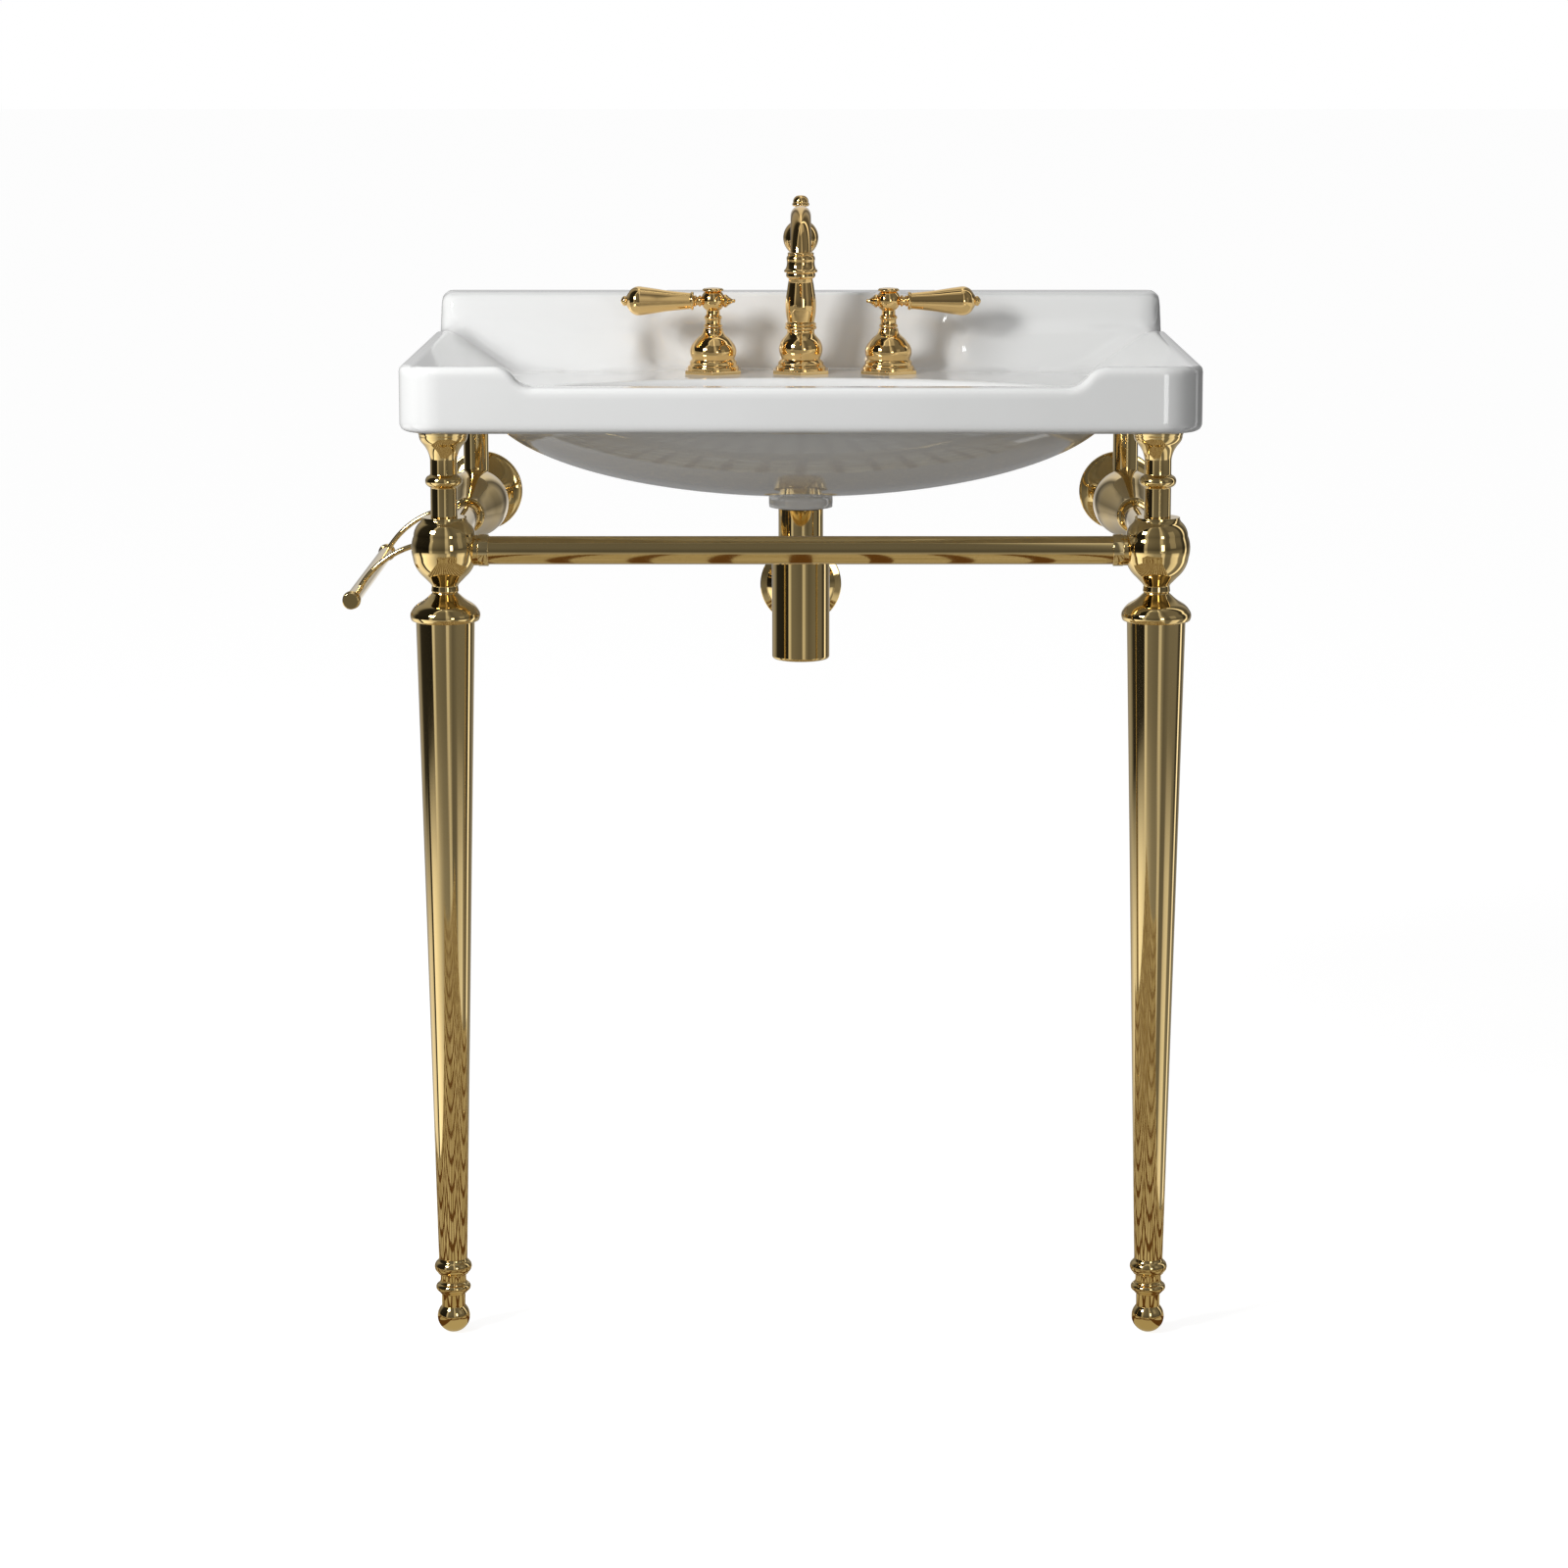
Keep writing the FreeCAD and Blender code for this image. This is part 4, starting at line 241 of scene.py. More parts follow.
TAP_GOLD = make_material("tap_gold", {
    "Colour": (0.88, 0.595, 0.24, 1),
    "Cloud Colour": (0.83, 0.555, 0.215, 1),
    "Edge Colour": (0.95, 0.77, 0.44, 1),
    "Cloud Scale": 16.0,
    "Grain Scale": 1600.0,
    "Smoothest": 0.018,
    "Roughest": 0.05,
    "Edge Roughness": 0.05,
}, {"Metallic": 1.0}, 0.006)

GLAZE = make_material("glazed_ceramic", {
    "Colour": (0.83, 0.835, 0.83, 1),
    "Cloud Colour": (0.80, 0.805, 0.795, 1),
    "Edge Colour": (0.86, 0.86, 0.85, 1),
    "Cloud Scale": 5.0,
    "Grain Scale": 260.0,
    "Smoothest": 0.05,
    "Roughest": 0.10,
    "Edge Roughness": 0.0,
}, {"IOR": 1.52, "Coat Weight": 0.35, "Coat Roughness": 0.03}, 0.03, 0.0012)

ZINC = make_material("zinc_steel", {
    "Colour": (0.55, 0.56, 0.57, 1),
    "Cloud Colour": (0.42, 0.43, 0.45, 1),
    "Edge Colour": (0.75, 0.75, 0.76, 1),
    "Cloud Scale": 60.0,
    "Grain Scale": 900.0,
    "Smoothest": 0.28,
    "Roughest": 0.45,
    "Edge Roughness": 0.1,
}, {"Metallic": 1.0}, 0.2)

RUBBER = make_material("rubber", {
    "Colour": (0.02, 0.02, 0.02, 1),
    "Cloud Colour": (0.035, 0.035, 0.035, 1),
    "Edge Colour": (0.06, 0.06, 0.06, 1),
    "Cloud Scale": 80.0,
    "Grain Scale": 1500.0,
    "Smoothest": 0.55,
    "Roughest": 0.75,
    "Edge Roughness": 0.1,
}, {}, 0.3)

MATERIALS = {
    "stand_gold": STAND_GOLD,
    "tap_gold": TAP_GOLD,
    "glazed_ceramic": GLAZE,
    "zinc_steel": ZINC,
    "rubber": RUBBER,
}
print("materials:", sorted(MATERIALS))

# %% [markdown]
# ## Finishes for the CAD pieces that stay
# Studs, nuts and the parts inside the trap are right as they were built, so they only
# get their material. The record says which finish each one has.

# %% Dress the CAD pieces
slots = {row["node"]: row["material_slot"] for row in frame["record"]["subparts"]}
for node, piece in frame["nodes"].items():
    for material_slot in piece.material_slots:
        material_slot.material = MATERIALS[slots[node]]
print("dressed", len(slots), "CAD pieces")

# %% [markdown]
# ## Turned pieces
# Nearly all of the gold parts are turned on a lathe or spun, so they are made the same
# way here: an outline of radius against length, spun round its axis. An outline could be
# typed as dozens of points, but a lathe hand thinks in straights and arcs, so each step
# is the end of a straight, or a point on the way and then the end of an arc.
# Hard rings get a small bevel, because a polished arris always catches a line of light.

# %% Outlines, spinning and finishing
RING_STEPS, SMALL_RING_STEPS = 96, 48
ARC_TURN = 5.0
SEAM_GAP = 1e-6
HARD_ANGLE = math.radians(28.0)
SHARPEST_BEND = 0.6
FLAT_FACE_WEIGHT = 80


def arc_points(first, middle, last):
    """Points along the arc through three points, without the first, one each few degrees."""
    ax, ay = middle[0] - first[0], middle[1] - first[1]
    bx, by = last[0] - first[0], last[1] - first[1]
    cross = 2 * (ax * by - ay * bx)
    a2, b2 = ax * ax + ay * ay, bx * bx + by * by
    cx = first[0] + (by * a2 - ay * b2) / cross
    cy = first[1] + (ax * b2 - bx * a2) / cross
    radius = math.hypot(first[0] - cx, first[1] - cy)
    start = math.atan2(first[1] - cy, first[0] - cx)
    end = math.atan2(last[1] - cy, last[0] - cx)
    sweep = (end - start) % math.tau
    if cross < 0:
        sweep -= math.tau
    count = max(3, math.ceil(abs(math.degrees(sweep)) / ARC_TURN))
    angles = [start + sweep * i / count for i in range(1, count)]
    return [(cx + radius * math.cos(a), cy + radius * math.sin(a)) for a in angles] + [last]


def trace(steps):
    """The points of an outline given as straights (r, z) and arcs (r, z, r, z)."""
    points = [steps[0][-2:]]
    for step in steps[1:]:
        if len(step) == 2:
            points.append(step)
        else:
            points += arc_points(points[-1], step[:2], step[2:])
    return points


def add_turned(bm, steps, turns=RING_STEPS):
    """Spin an outline round Z inside a bmesh and return its new vertices."""
    before = set(bm.verts)
    line = [bm.verts.new((r * MM, 0, z * MM)) for r, z in trace(steps)]
    edges = [bm.edges.new(pair) for pair in zip(line, line[1:])]
    bmesh.ops.spin(bm, geom=line + edges, cent=(0, 0, 0), axis=(0, 0, 1), dvec=(0, 0, 0),
                   angle=math.tau, steps=turns, use_merge=True, use_duplicate=False)
    made = [v for v in bm.verts if v not in before]
    bmesh.ops.remove_doubles(bm, verts=made, dist=SEAM_GAP)
    return [v for v in bm.verts if v not in before]


def soften(bm, width):
    """Bevel the hard edges by a width in millimetres."""
    inner = [e for e in bm.edges if len(e.link_faces) == 2]
    hard = [e for e in inner if e.calc_face_angle(0) > HARD_ANGLE]
    if hard:
        bmesh.ops.bevel(bm, geom=hard, offset=width * MM, offset_type="OFFSET", segments=3,
                        profile=0.5, affect="EDGES", clamp_overlap=True, material=-1)


def rub_edges(bm):
    """Store how much each vertex stands out on a convex edge, for the rubbed finish."""
    layer = bm.verts.layers.float.new("rubbed")
    for vert in bm.verts:
        bends = [e.calc_face_angle_signed(0) for e in vert.link_edges if len(e.link_faces) == 2]
        vert[layer] = min(1.0, max([0.0] + bends) / SHARPEST_BEND)


def make_piece(name, bm, material, body, nodes, bevel=0.45, weighted=True):
    """Close a bmesh into a finished piece that rides a body and stands for CAD nodes."""
    bmesh.ops.recalc_face_normals(bm, faces=bm.faces)
    if bevel:
        soften(bm, bevel)
    rub_edges(bm)
    for face in bm.faces:
        face.smooth = True
    mesh = bpy.data.meshes.new(name)
    bm.to_mesh(mesh)
    bm.free()
    mesh.materials.append(material)
    piece = bpy.data.objects.new(name, mesh)
    scene.collection.objects.link(piece)
    if weighted:
        normals = piece.modifiers.new("even_normals", "WEIGHTED_NORMAL")
        normals.weight = FLAT_FACE_WEIGHT
    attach(piece, body)
    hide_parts(*nodes)
    return piece


UP = Matrix.Identity(3)
TO_WALL = Matrix.Rotation(math.radians(-90), 3, "X")
TO_FRONT = Matrix.Rotation(math.radians(90), 3, "X")
TO_RIGHT = Matrix.Rotation(math.radians(90), 3, "Y")
TO_LEFT = Matrix.Rotation(math.radians(-90), 3, "Y")


def seat(bm, verts, where, way=UP):
    """Turn new vertices to point a way, and move them to their place."""
    bmesh.ops.transform(bm, matrix=Matrix.Translation(where) @ way.to_4x4(), verts=verts)


def turned_piece(name, steps, where, material, nodes, way=UP, body="console", bevel=0.45):
    """One outline, spun and seated as a piece of its own."""
    bm = bmesh.new()
    seat(bm, add_turned(bm, steps), where, way)
    return make_piece(name, bm, material, body, nodes, bevel)


def plain_rod(radius, length):
    """The outline of a rod or tube with square ends."""
    return [(0.0, 0.0), (radius, 0.0), (radius, length), (0.0, length)]


print("a quarter arc has", len(arc_points((1, 0), (0.7071, 0.7071), (0, 1))), "points")

# %% [markdown]
# ## The basin
# A cast basin is never sharp: the clay is sponged before firing and the glaze pools in
# its corners. The CAD casting has the right planes and curves, but crisp meetings. It
# could be beveled edge by edge, but its facets meet at odd angles. Remeshing a merged
# copy into small even squares, in the mode that keeps its planes true, and smoothing it
# a little rounds every edge at once. Glaze also runs into hollow corners, such as those
# behind the ledges, so these get more smoothing than the outer edges.

# %% Glaze the basin
FACET_GAP = 1e-5
SQUARES_DEPTH, SQUARES_FILL = 8, 0.785
SPONGE_SHARE, SPONGE_PASSES = 0.5, 1


def glazed_copy(node):
    """A CAD piece's mesh, made again of even squares and sponged smooth."""
    bm = bmesh.new()
    bm.from_mesh(frame["nodes"][node].data)
    bmesh.ops.remove_doubles(bm, verts=bm.verts, dist=FACET_GAP)
    rough = bpy.data.meshes.new("casting")
    bm.to_mesh(rough)
    bm.free()
    casting = bpy.data.objects.new("casting", rough)
    scene.collection.objects.link(casting)
    squares = casting.modifiers.new("squares", "REMESH")
    squares.mode = "SHARP"
    squares.octree_depth = SQUARES_DEPTH
    squares.scale = SQUARES_FILL
    squares.sharpness = 1.0
    squares.use_remove_disconnected = False
    squares.use_smooth_shade = True
    sponge = casting.modifiers.new("sponge", "SMOOTH")
    sponge.factor = SPONGE_SHARE
    sponge.iterations = SPONGE_PASSES
    bpy.context.view_layer.update()
    graph = bpy.context.evaluated_depsgraph_get()
    finished = bpy.data.meshes.new_from_object(casting.evaluated_get(graph))
    bpy.data.objects.remove(casting)
    return finished


basin_bm = bmesh.new()
basin_bm.from_mesh(glazed_copy("basin"))
print("basin squares:", len(basin_bm.faces))

# %% [markdown]
# The pools lie above the deck and away from the front ledge, whose corners stay crisp on
# the real basin. Every hollow bend there starts a patch of points, which grows outward
# ring by ring. The widest patch is smoothed first and the narrowest last, so the rounding
# is deep in the corner and fades into the flats.

# %% Pool the glaze in hollow corners
DECK_LEVEL = (DECK - FLOOR_TO_BOLTS) * MM
POOL_ABOVE = DECK_LEVEL + 0.0005
POOL_BEHIND = -0.40
POOL_BEND = math.radians(9.0)
POOL_REACHES = (12, 8, 5, 3)
POOL_PASSES = 14


def pool_glaze(bm):
    """Round the hollow corners, and return how many points that moved."""
    hollow = [e for e in bm.edges if e.is_manifold and e.calc_face_angle_signed(0.0) < -POOL_BEND]
    ring = {v for e in hollow for v in e.verts if v.co.z > POOL_ABOVE and v.co.y > POOL_BEHIND}
    rings = [ring]
    while len(rings) <= POOL_REACHES[0]:
        ring = ring | {e.other_vert(v) for v in ring for e in v.link_edges}
        rings.append(ring)
    for reach in POOL_REACHES:
        for _ in range(POOL_PASSES):
            bmesh.ops.smooth_vert(bm, verts=list(rings[reach]), factor=SPONGE_SHARE,
                                  use_axis_x=True, use_axis_y=True, use_axis_z=True)
    return len(rings[POOL_REACHES[0]])


print("glaze pooled over", pool_glaze(basin_bm), "points")
make_piece("basin_glazed", basin_bm, GLAZE, "console", ["basin"], bevel=0, weighted=False)

# %% [markdown]
# ## The front legs
# Each leg is a stack of turned pieces on one threaded stud: a ball foot with two beads,
# a long tapered tube, a bell-shaped collar, a pear-shaped hub that takes the rails, and
# a post that flares out under the basin. They are separate pieces on the real leg,
# with a fine joint line between them, so they are separate here too.

# %% Feet, shafts and collars
SIDES = ((-1, "left"), (1, "right"))
FOOT_SEAT = -0.25
FOOT_TOP = 68.55
SHAFT_TOP = 649.5
SHAFT_LENGTH = SHAFT_TOP - FOOT_TOP
FOOT = [
    (0.0, 0.56), (4.0, 0.56),
    (14.6, 14.6, 10.6, 24.64),
    (10.6, 36.0), (11.9, 36.6),
    (12.6, 37.6, 12.9, 38.4),
    (15.6, 42.0, 12.9, 45.6),
    (12.6, 46.4, 11.8, 47.2),
    (11.5, 49.0), (11.5, 54.0),
    (13.4, 54.6, 13.8, 55.8),
    (16.7, 61.4, 13.8, 66.4),
    (13.2, 67.4, 12.8, 68.8),
    (0.0, 68.8),
]
SHAFT = [(0.0, 0.0), (12.8, 0.0), (25.9, SHAFT_LENGTH), (0.0, SHAFT_LENGTH)]
LEG_COLLAR = [
    (0.0, 0.0), (27.6, 0.0),
    (29.4, 0.4, 30.3, 1.8),
    (30.9, 4.6, 29.3, 9.4),
    (26.4, 13.2, 22.6, 16.0),
    (17.0, 19.6, 13.0, 23.2),
    (11.6, 24.4), (11.2, 25.5),
    (0.0, 25.5),
]

for side, word in SIDES:
    x = LEG_X * side
    turned_piece(word + "_foot_turned", FOOT, place(x, LEG_FROM_WALL, FOOT_SEAT),
                 STAND_GOLD, [word + "_foot"], bevel=0.3)
    turned_piece(word + "_shaft_turned", SHAFT, place(x, LEG_FROM_WALL, FOOT_TOP),
                 STAND_GOLD, [word + "_leg_shaft"])
    turned_piece(word + "_collar_turned", LEG_COLLAR, place(x, LEG_FROM_WALL, SHAFT_TOP),
                 STAND_GOLD, [word + "_leg_collar"], bevel=0.3)
print("leg shafts are", round(SHAFT_LENGTH), "mm long")

# %% [markdown]
# The hub is a pear with two short sockets for the rails. The sockets are turned in the
# same mesh, each along its own rail, and the sleeves on the rail ends cover them.

# %% Hubs, sleeves and rails
HUB_DROP = 37.0
HUB = [
    (0.0, 0.0), (11.2, 0.0),
    (11.9, 0.6, 12.0, 1.6), (11.6, 5.6),
    (12.6, 7.4), (18.6, 13.6),
    (25.0, 21.6, 28.0, 31.0),
    (29.2, 41.0, 27.2, 50.0),
    (25.2, 57.4, 21.0, 62.6),
    (19.9, 64.6), (19.9, 66.6), (0.0, 66.6),
]
SOCKET_START, SOCKET_END, SOCKET_RADIUS = 14.0, 29.8, 13.5
SOCKET = [
    (0.0, SOCKET_START), (SOCKET_RADIUS, SOCKET_START),
    (SOCKET_RADIUS, SOCKET_END), (0.0, SOCKET_END),
]
SLEEVE = [
    (12.55, 0.0), (13.5, 0.0), (14.0, 0.5), (14.0, 8.7), (13.5, 9.2), (12.55, 9.2), (12.55, 0.0),
]

for side, word in SIDES:
    x = LEG_X * side
    inward = TO_RIGHT if side < 0 else TO_LEFT
    hub = bmesh.new()
    seat(hub, add_turned(hub, HUB), place(x, LEG_FROM_WALL, RAIL_HEIGHT - HUB_DROP))
    for way in (inward, TO_WALL):
        seat(hub, add_turned(hub, SOCKET), place(x, LEG_FROM_WALL, RAIL_HEIGHT), way)
    make_piece(word + "_hub_turned", hub, STAND_GOLD, "console", [word + "_hub"], bevel=0.3)

sleeves = bmesh.new()
for side, _ in SIDES:
    inward = TO_RIGHT if side < 0 else TO_LEFT
    start = place((LEG_X - SOCKET_END) * side, LEG_FROM_WALL, RAIL_HEIGHT)
    seat(sleeves, add_turned(sleeves, SLEEVE), start, inward)
    start = place(LEG_X * side, LEG_FROM_WALL - SOCKET_END, RAIL_HEIGHT)
    seat(sleeves, add_turned(sleeves, SLEEVE), start, TO_WALL)
make_piece("rail_sleeves", sleeves, STAND_GOLD, "console", ["rail_collars"], bevel=0)

FRONT_RAIL_LENGTH = 599.0
SIDE_RAIL_LENGTH, SIDE_RAIL_FROM_WALL = 245.0, 430.0
turned_piece("front_rail_tube", plain_rod(RAIL_RADIUS, FRONT_RAIL_LENGTH),
             place(-FRONT_RAIL_LENGTH / 2, LEG_FROM_WALL, RAIL_HEIGHT),
             STAND_GOLD, ["front_rail"], TO_RIGHT)
for side, word in SIDES:
    turned_piece(word + "_side_tube", plain_rod(RAIL_RADIUS, SIDE_RAIL_LENGTH),
                 place(LEG_X * side, SIDE_RAIL_FROM_WALL, RAIL_HEIGHT),
                 STAND_GOLD, [word + "_side_rail"], TO_WALL)
print("rails at", RAIL_HEIGHT, "mm above the floor")

# %% [markdown]
# The posts above the hubs have one bead and a trumpet flare that spreads the load under
# the ceramic. The rear posts are plain tubes.

# %% Posts
POST_FOOT, POST_LENGTH = 741.6, 78.4
TOP_POST = [
    (0.0, 0.0), (11.8, 0.0), (11.8, 25.6),
    (12.2, 26.4, 13.0, 26.9),
    (16.3, 31.9, 13.0, 36.9),
    (12.2, 37.4, 11.8, 38.2),
    (11.8, 50.4),
    (13.2, 56.6, 18.6, 65.2),
    (20.8, 69.0, 21.4, 72.4),
    (22.0, 74.0), (22.0, POST_LENGTH), (0.0, POST_LENGTH),
]
REAR_POST = plain_rod(12.0, 98.0)
REAR_POST_FROM_WALL, REAR_POST_FOOT = 81.0, 722.0

for side, word in SIDES:
    x = LEG_X * side
    turned_piece(word + "_top_post_turned", TOP_POST, place(x, LEG_FROM_WALL, POST_FOOT),
                 STAND_GOLD, [word + "_top_post"], bevel=0.3)
    turned_piece(word + "_rear_post_tube", REAR_POST,
                 place(x, REAR_POST_FROM_WALL, REAR_POST_FOOT),
                 STAND_GOLD, [word + "_rear_post"])
print("posts reach", POST_FOOT + POST_LENGTH, "mm above the floor")

# %% [markdown]
# ## Rear brackets
# Each rail runs into an urn-shaped casting that points out from the wall, with a domed
# flange round its root. The urn is spun like a leg, but about a level axis.

# %% Brackets and wall flanges
BRACKET = [
    (0.0, 0.0), (17.0, 0.0), (17.0, 32.0),
    (17.6, 38.6, 20.0, 44.0),
    (30.9, 82.0, 24.0, 148.0),
    (18.6, 170.0, 14.5, 187.4),
    (14.5, 193.2), (15.2, 194.2),
    (17.0, 197.5, 15.2, 200.8),
    (12.55, 201.0), (12.55, 196.0), (0.0, 196.0),
]
WALL_FLANGE = [
    (17.2, 0.0), (39.0, 0.0), (39.0, 2.6),
    (38.4, 3.4, 37.2, 3.6),
    (33.0, 4.2),
    (26.6, 7.4, 20.2, 11.4),
    (18.8, 12.4, 18.2, 13.0),
    (17.2, 13.0), (17.2, 0.0),
]

for side, word in SIDES:
    x = LEG_X * side
    turned_piece(word + "_bracket_turned", BRACKET, place(x, 0, RAIL_HEIGHT), STAND_GOLD,
                 [word + "_rear_bracket"], TO_FRONT, bevel=0.3)
    turned_piece(word + "_flange_spun", WALL_FLANGE, place(x, 0, RAIL_HEIGHT), STAND_GOLD,
                 [word + "_wall_flange"], TO_FRONT, bevel=0.2)
print("brackets reach", max(step[-1] for step in BRACKET), "mm out from the wall")

# %% [markdown]
# ## Towel bar
# A bar with small turned caps hangs beside the left rail on two thin arched arms. An arm
# is a round section spun part of a turn about the arch's centre, which gives a true arc
# with square ends.

# %% Towel bar, caps and arms
ARCH_X, ARCH_HEIGHT, ARCH_RADIUS, ARM_RADIUS = -328.5, 623.0, 82.0, 2.5
BAR_TURN, ARM_END = 63, 60.5
ARM_SIDES, ARM_STEPS = 24, 40
BAR_X = ARCH_X - ARCH_RADIUS * math.sin(math.radians(BAR_TURN))
BAR_HEIGHT = ARCH_HEIGHT + ARCH_RADIUS * math.cos(math.radians(BAR_TURN))
BAR_FRONT, BAR_LENGTH, CAP_REACH = 396.0, 324.0, 6.0
BAR_CAP = [
    (0.0, 0.0), (6.4, 0.0), (7.2, 0.3, 7.4, 1.2), (7.4, 4.8), (7.0, 6.0),
    (8.3, 8.5, 7.0, 11.0), (6.55, 11.0), (6.55, 6.2), (0.0, 6.2),
]
turned_piece("towel_bar_tube", plain_rod(6.5, BAR_LENGTH), place(BAR_X, BAR_FRONT, BAR_HEIGHT),
             STAND_GOLD, ["towel_bar"], TO_WALL)
caps = bmesh.new()
for end, way in ((BAR_FRONT + CAP_REACH, TO_WALL), (BAR_FRONT - BAR_LENGTH - CAP_REACH, TO_FRONT)):
    seat(caps, add_turned(caps, BAR_CAP, SMALL_RING_STEPS), place(BAR_X, end, BAR_HEIGHT), way)
make_piece("towel_bar_ends", caps, STAND_GOLD, "console", ["towel_bar_caps"], bevel=0.2)


def make_arm(name, from_wall, start, node):
    """A round section near the top of the arch, spun down to the bar."""
    centre = place(ARCH_X, from_wall, ARCH_HEIGHT)
    bm = bmesh.new()
    section = bmesh.ops.create_circle(bm, cap_ends=False, radius=ARM_RADIUS * MM,
                                      segments=ARM_SIDES)["verts"]
    lean = Matrix.Rotation(math.radians(90), 4, "Y")
    top = centre + Vector((0, 0, ARCH_RADIUS * MM))
    turn = Matrix.Translation(centre) @ Matrix.Rotation(math.radians(-start), 4, "Y")
    place_section = turn @ Matrix.Translation(top - centre) @ lean
    bmesh.ops.transform(bm, matrix=place_section, verts=section)
    edges = list(bm.edges)
    ends = bmesh.ops.spin(bm, geom=section + edges, cent=centre, axis=(0, 1, 0), dvec=(0, 0, 0),
                          angle=-math.radians(ARM_END - start), steps=ARM_STEPS,
                          use_duplicate=False)
    bmesh.ops.holes_fill(bm, edges=[e for e in bm.edges if e.is_boundary], sides=0)
    print(name, "ends", len(ends["geom_last"]) // 2, "points round")
    return make_piece(name, bm, STAND_GOLD, "console", [node], bevel=0.15)


make_arm("front_arm_bent", 340.0, 2.0, "front_towel_arm")
make_arm("rear_arm_bent", REAR_POST_FROM_WALL, 9.0, "rear_towel_arm")

# %% [markdown]
# ## Waste and bottle trap
# Under the bowl a plain tube carries the bottle trap, whose outlet turns down to a
# round plate on the wall. Tubes that bend are drawn as a plumber would bend them: a ring
# of points is pushed along each straight, and spun round the centre of each bend.

# %% Bent tubes
TUBE_SIDES = 64


def start_tube(bm, radius, where, way):
    """The first ring of a tube, as its edges."""
    ring = bmesh.ops.create_circle(bm, cap_ends=False, radius=radius * MM,
                                   segments=TUBE_SIDES)["verts"]
    seat(bm, ring, where, way)
    return [e for e in bm.edges if all(v in ring for v in e.verts)]


def push(bm, edges, millimetres):
    """Push the tube's last ring straight towards the wall."""
    made = bmesh.ops.extrude_edge_only(bm, edges=edges)["geom"]
    verts = [item for item in made if isinstance(item, bmesh.types.BMVert)]
    bmesh.ops.translate(bm, verts=verts, vec=Vector((0, millimetres, 0)) * MM)
    new_edges = [item for item in made if isinstance(item, bmesh.types.BMEdge)]
    return [e for e in new_edges if all(v in verts for v in e.verts)]


def bend(bm, edges, centre, degrees, steps):
    """Spin the tube's last ring about a level axis across the basin."""
    ring = list({v for e in edges for v in e.verts})
    spun = bmesh.ops.spin(bm, geom=ring + edges, cent=centre, axis=(1, 0, 0), dvec=(0, 0, 0),
                          angle=math.radians(degrees), steps=steps, use_duplicate=False)
    return [item for item in spun["geom_last"] if isinstance(item, bmesh.types.BMEdge)]


def close_ends(bm):
    """Fill the open ring at each end of a tube."""
    bmesh.ops.holes_fill(bm, edges=[e for e in bm.edges if e.is_boundary], sides=0)


OUTLET_HEIGHT, WALL_WASTE, OUTLET_RADIUS, BEND = 655.0, 619.0, 16.0, 60.0
OUTLET_START, BEND_START = 258.0, 217.0
BEFORE_WALL, INTO_WALL, BEND_STEPS = 2.0, 30.0, 14
TURN = math.degrees(math.acos(1 - (OUTLET_HEIGHT - WALL_WASTE) / (2 * BEND)))
REACH = BEND * math.sin(math.radians(TURN))
BEND_END = BEND_START - 2 * REACH
outlet = bmesh.new()
edges = start_tube(outlet, OUTLET_RADIUS, place(0, OUTLET_START, OUTLET_HEIGHT), TO_WALL)
edges = push(outlet, edges, OUTLET_START - BEND_START)
edges = bend(outlet, edges, place(0, BEND_START, OUTLET_HEIGHT - BEND), -TURN, BEND_STEPS)
edges = bend(outlet, edges, place(0, BEND_END, WALL_WASTE + BEND), TURN, BEND_STEPS)
for straight in (BEND_END - BEFORE_WALL, 2 * BEFORE_WALL, INTO_WALL):
    edges = push(outlet, edges, straight)
close_ends(outlet)
make_piece("trap_outlet_tube", outlet, STAND_GOLD, "console", ["trap_outlet_pipe"], bevel=0.3)
drop = OUTLET_HEIGHT - WALL_WASTE
print("the outlet drops", drop, "mm in two bends of", round(TURN, 1), "degrees")

# %% [markdown]
# The bottle is one plain spun cup with its lid screwed on, and the outlet leaves through
# a short boss with a ring nut. The plate at the wall is a shallow dome.

# %% Bottle, lid, nut, plate and waste tube
BOTTLE_FOOT, BOTTLE_LENGTH, LID_HEIGHT = 591.5, 96.5, 9.0
NUT_FROM_WALL = 256.0
LID_FOOT = BOTTLE_FOOT + BOTTLE_LENGTH
BOTTLE = [
    (0.0, 0.0), (23.4, 0.0), (25.5, 0.7, 26.4, 2.9),
    (26.4, 96.3), (25.9, BOTTLE_LENGTH), (0.0, BOTTLE_LENGTH),
]
OUTLET_BOSS = [(0.0, 19.0), (18.0, 19.0), (18.0, 43.6), (17.6, 44.0), (0.0, 44.0)]
LID = [
    (0.0, 0.0), (25.9, 0.0), (26.4, 0.3), (26.4, 6.2),
    (25.7, 8.2, 23.6, LID_HEIGHT), (0.0, LID_HEIGHT),
]
OUTLET_NUT = [
    (16.2, 0.0), (21.4, 0.0), (22.0, 0.6), (22.0, 13.4),
    (21.2, 16.4, 19.2, 18.0), (16.2, 18.0), (16.2, 0.0),
]
WALL_PLATE = [
    (16.2, 0.0), (40.0, 0.0), (40.0, 1.4), (39.4, 2.2), (33.6, 3.2),
    (28.4, 7.2, 20.0, 10.4), (17.4, 11.0), (16.2, 11.0), (16.2, 0.0),
]
WASTE_TUBE = [(16.2, 0.0), (20.5, 0.0), (20.5, 33.5), (16.2, 33.5), (16.2, 0.0)]
PIVOT_BOSS = [(0.0, 17.0), (9.0, 17.0), (9.0, 27.0), (0.0, 27.0)]

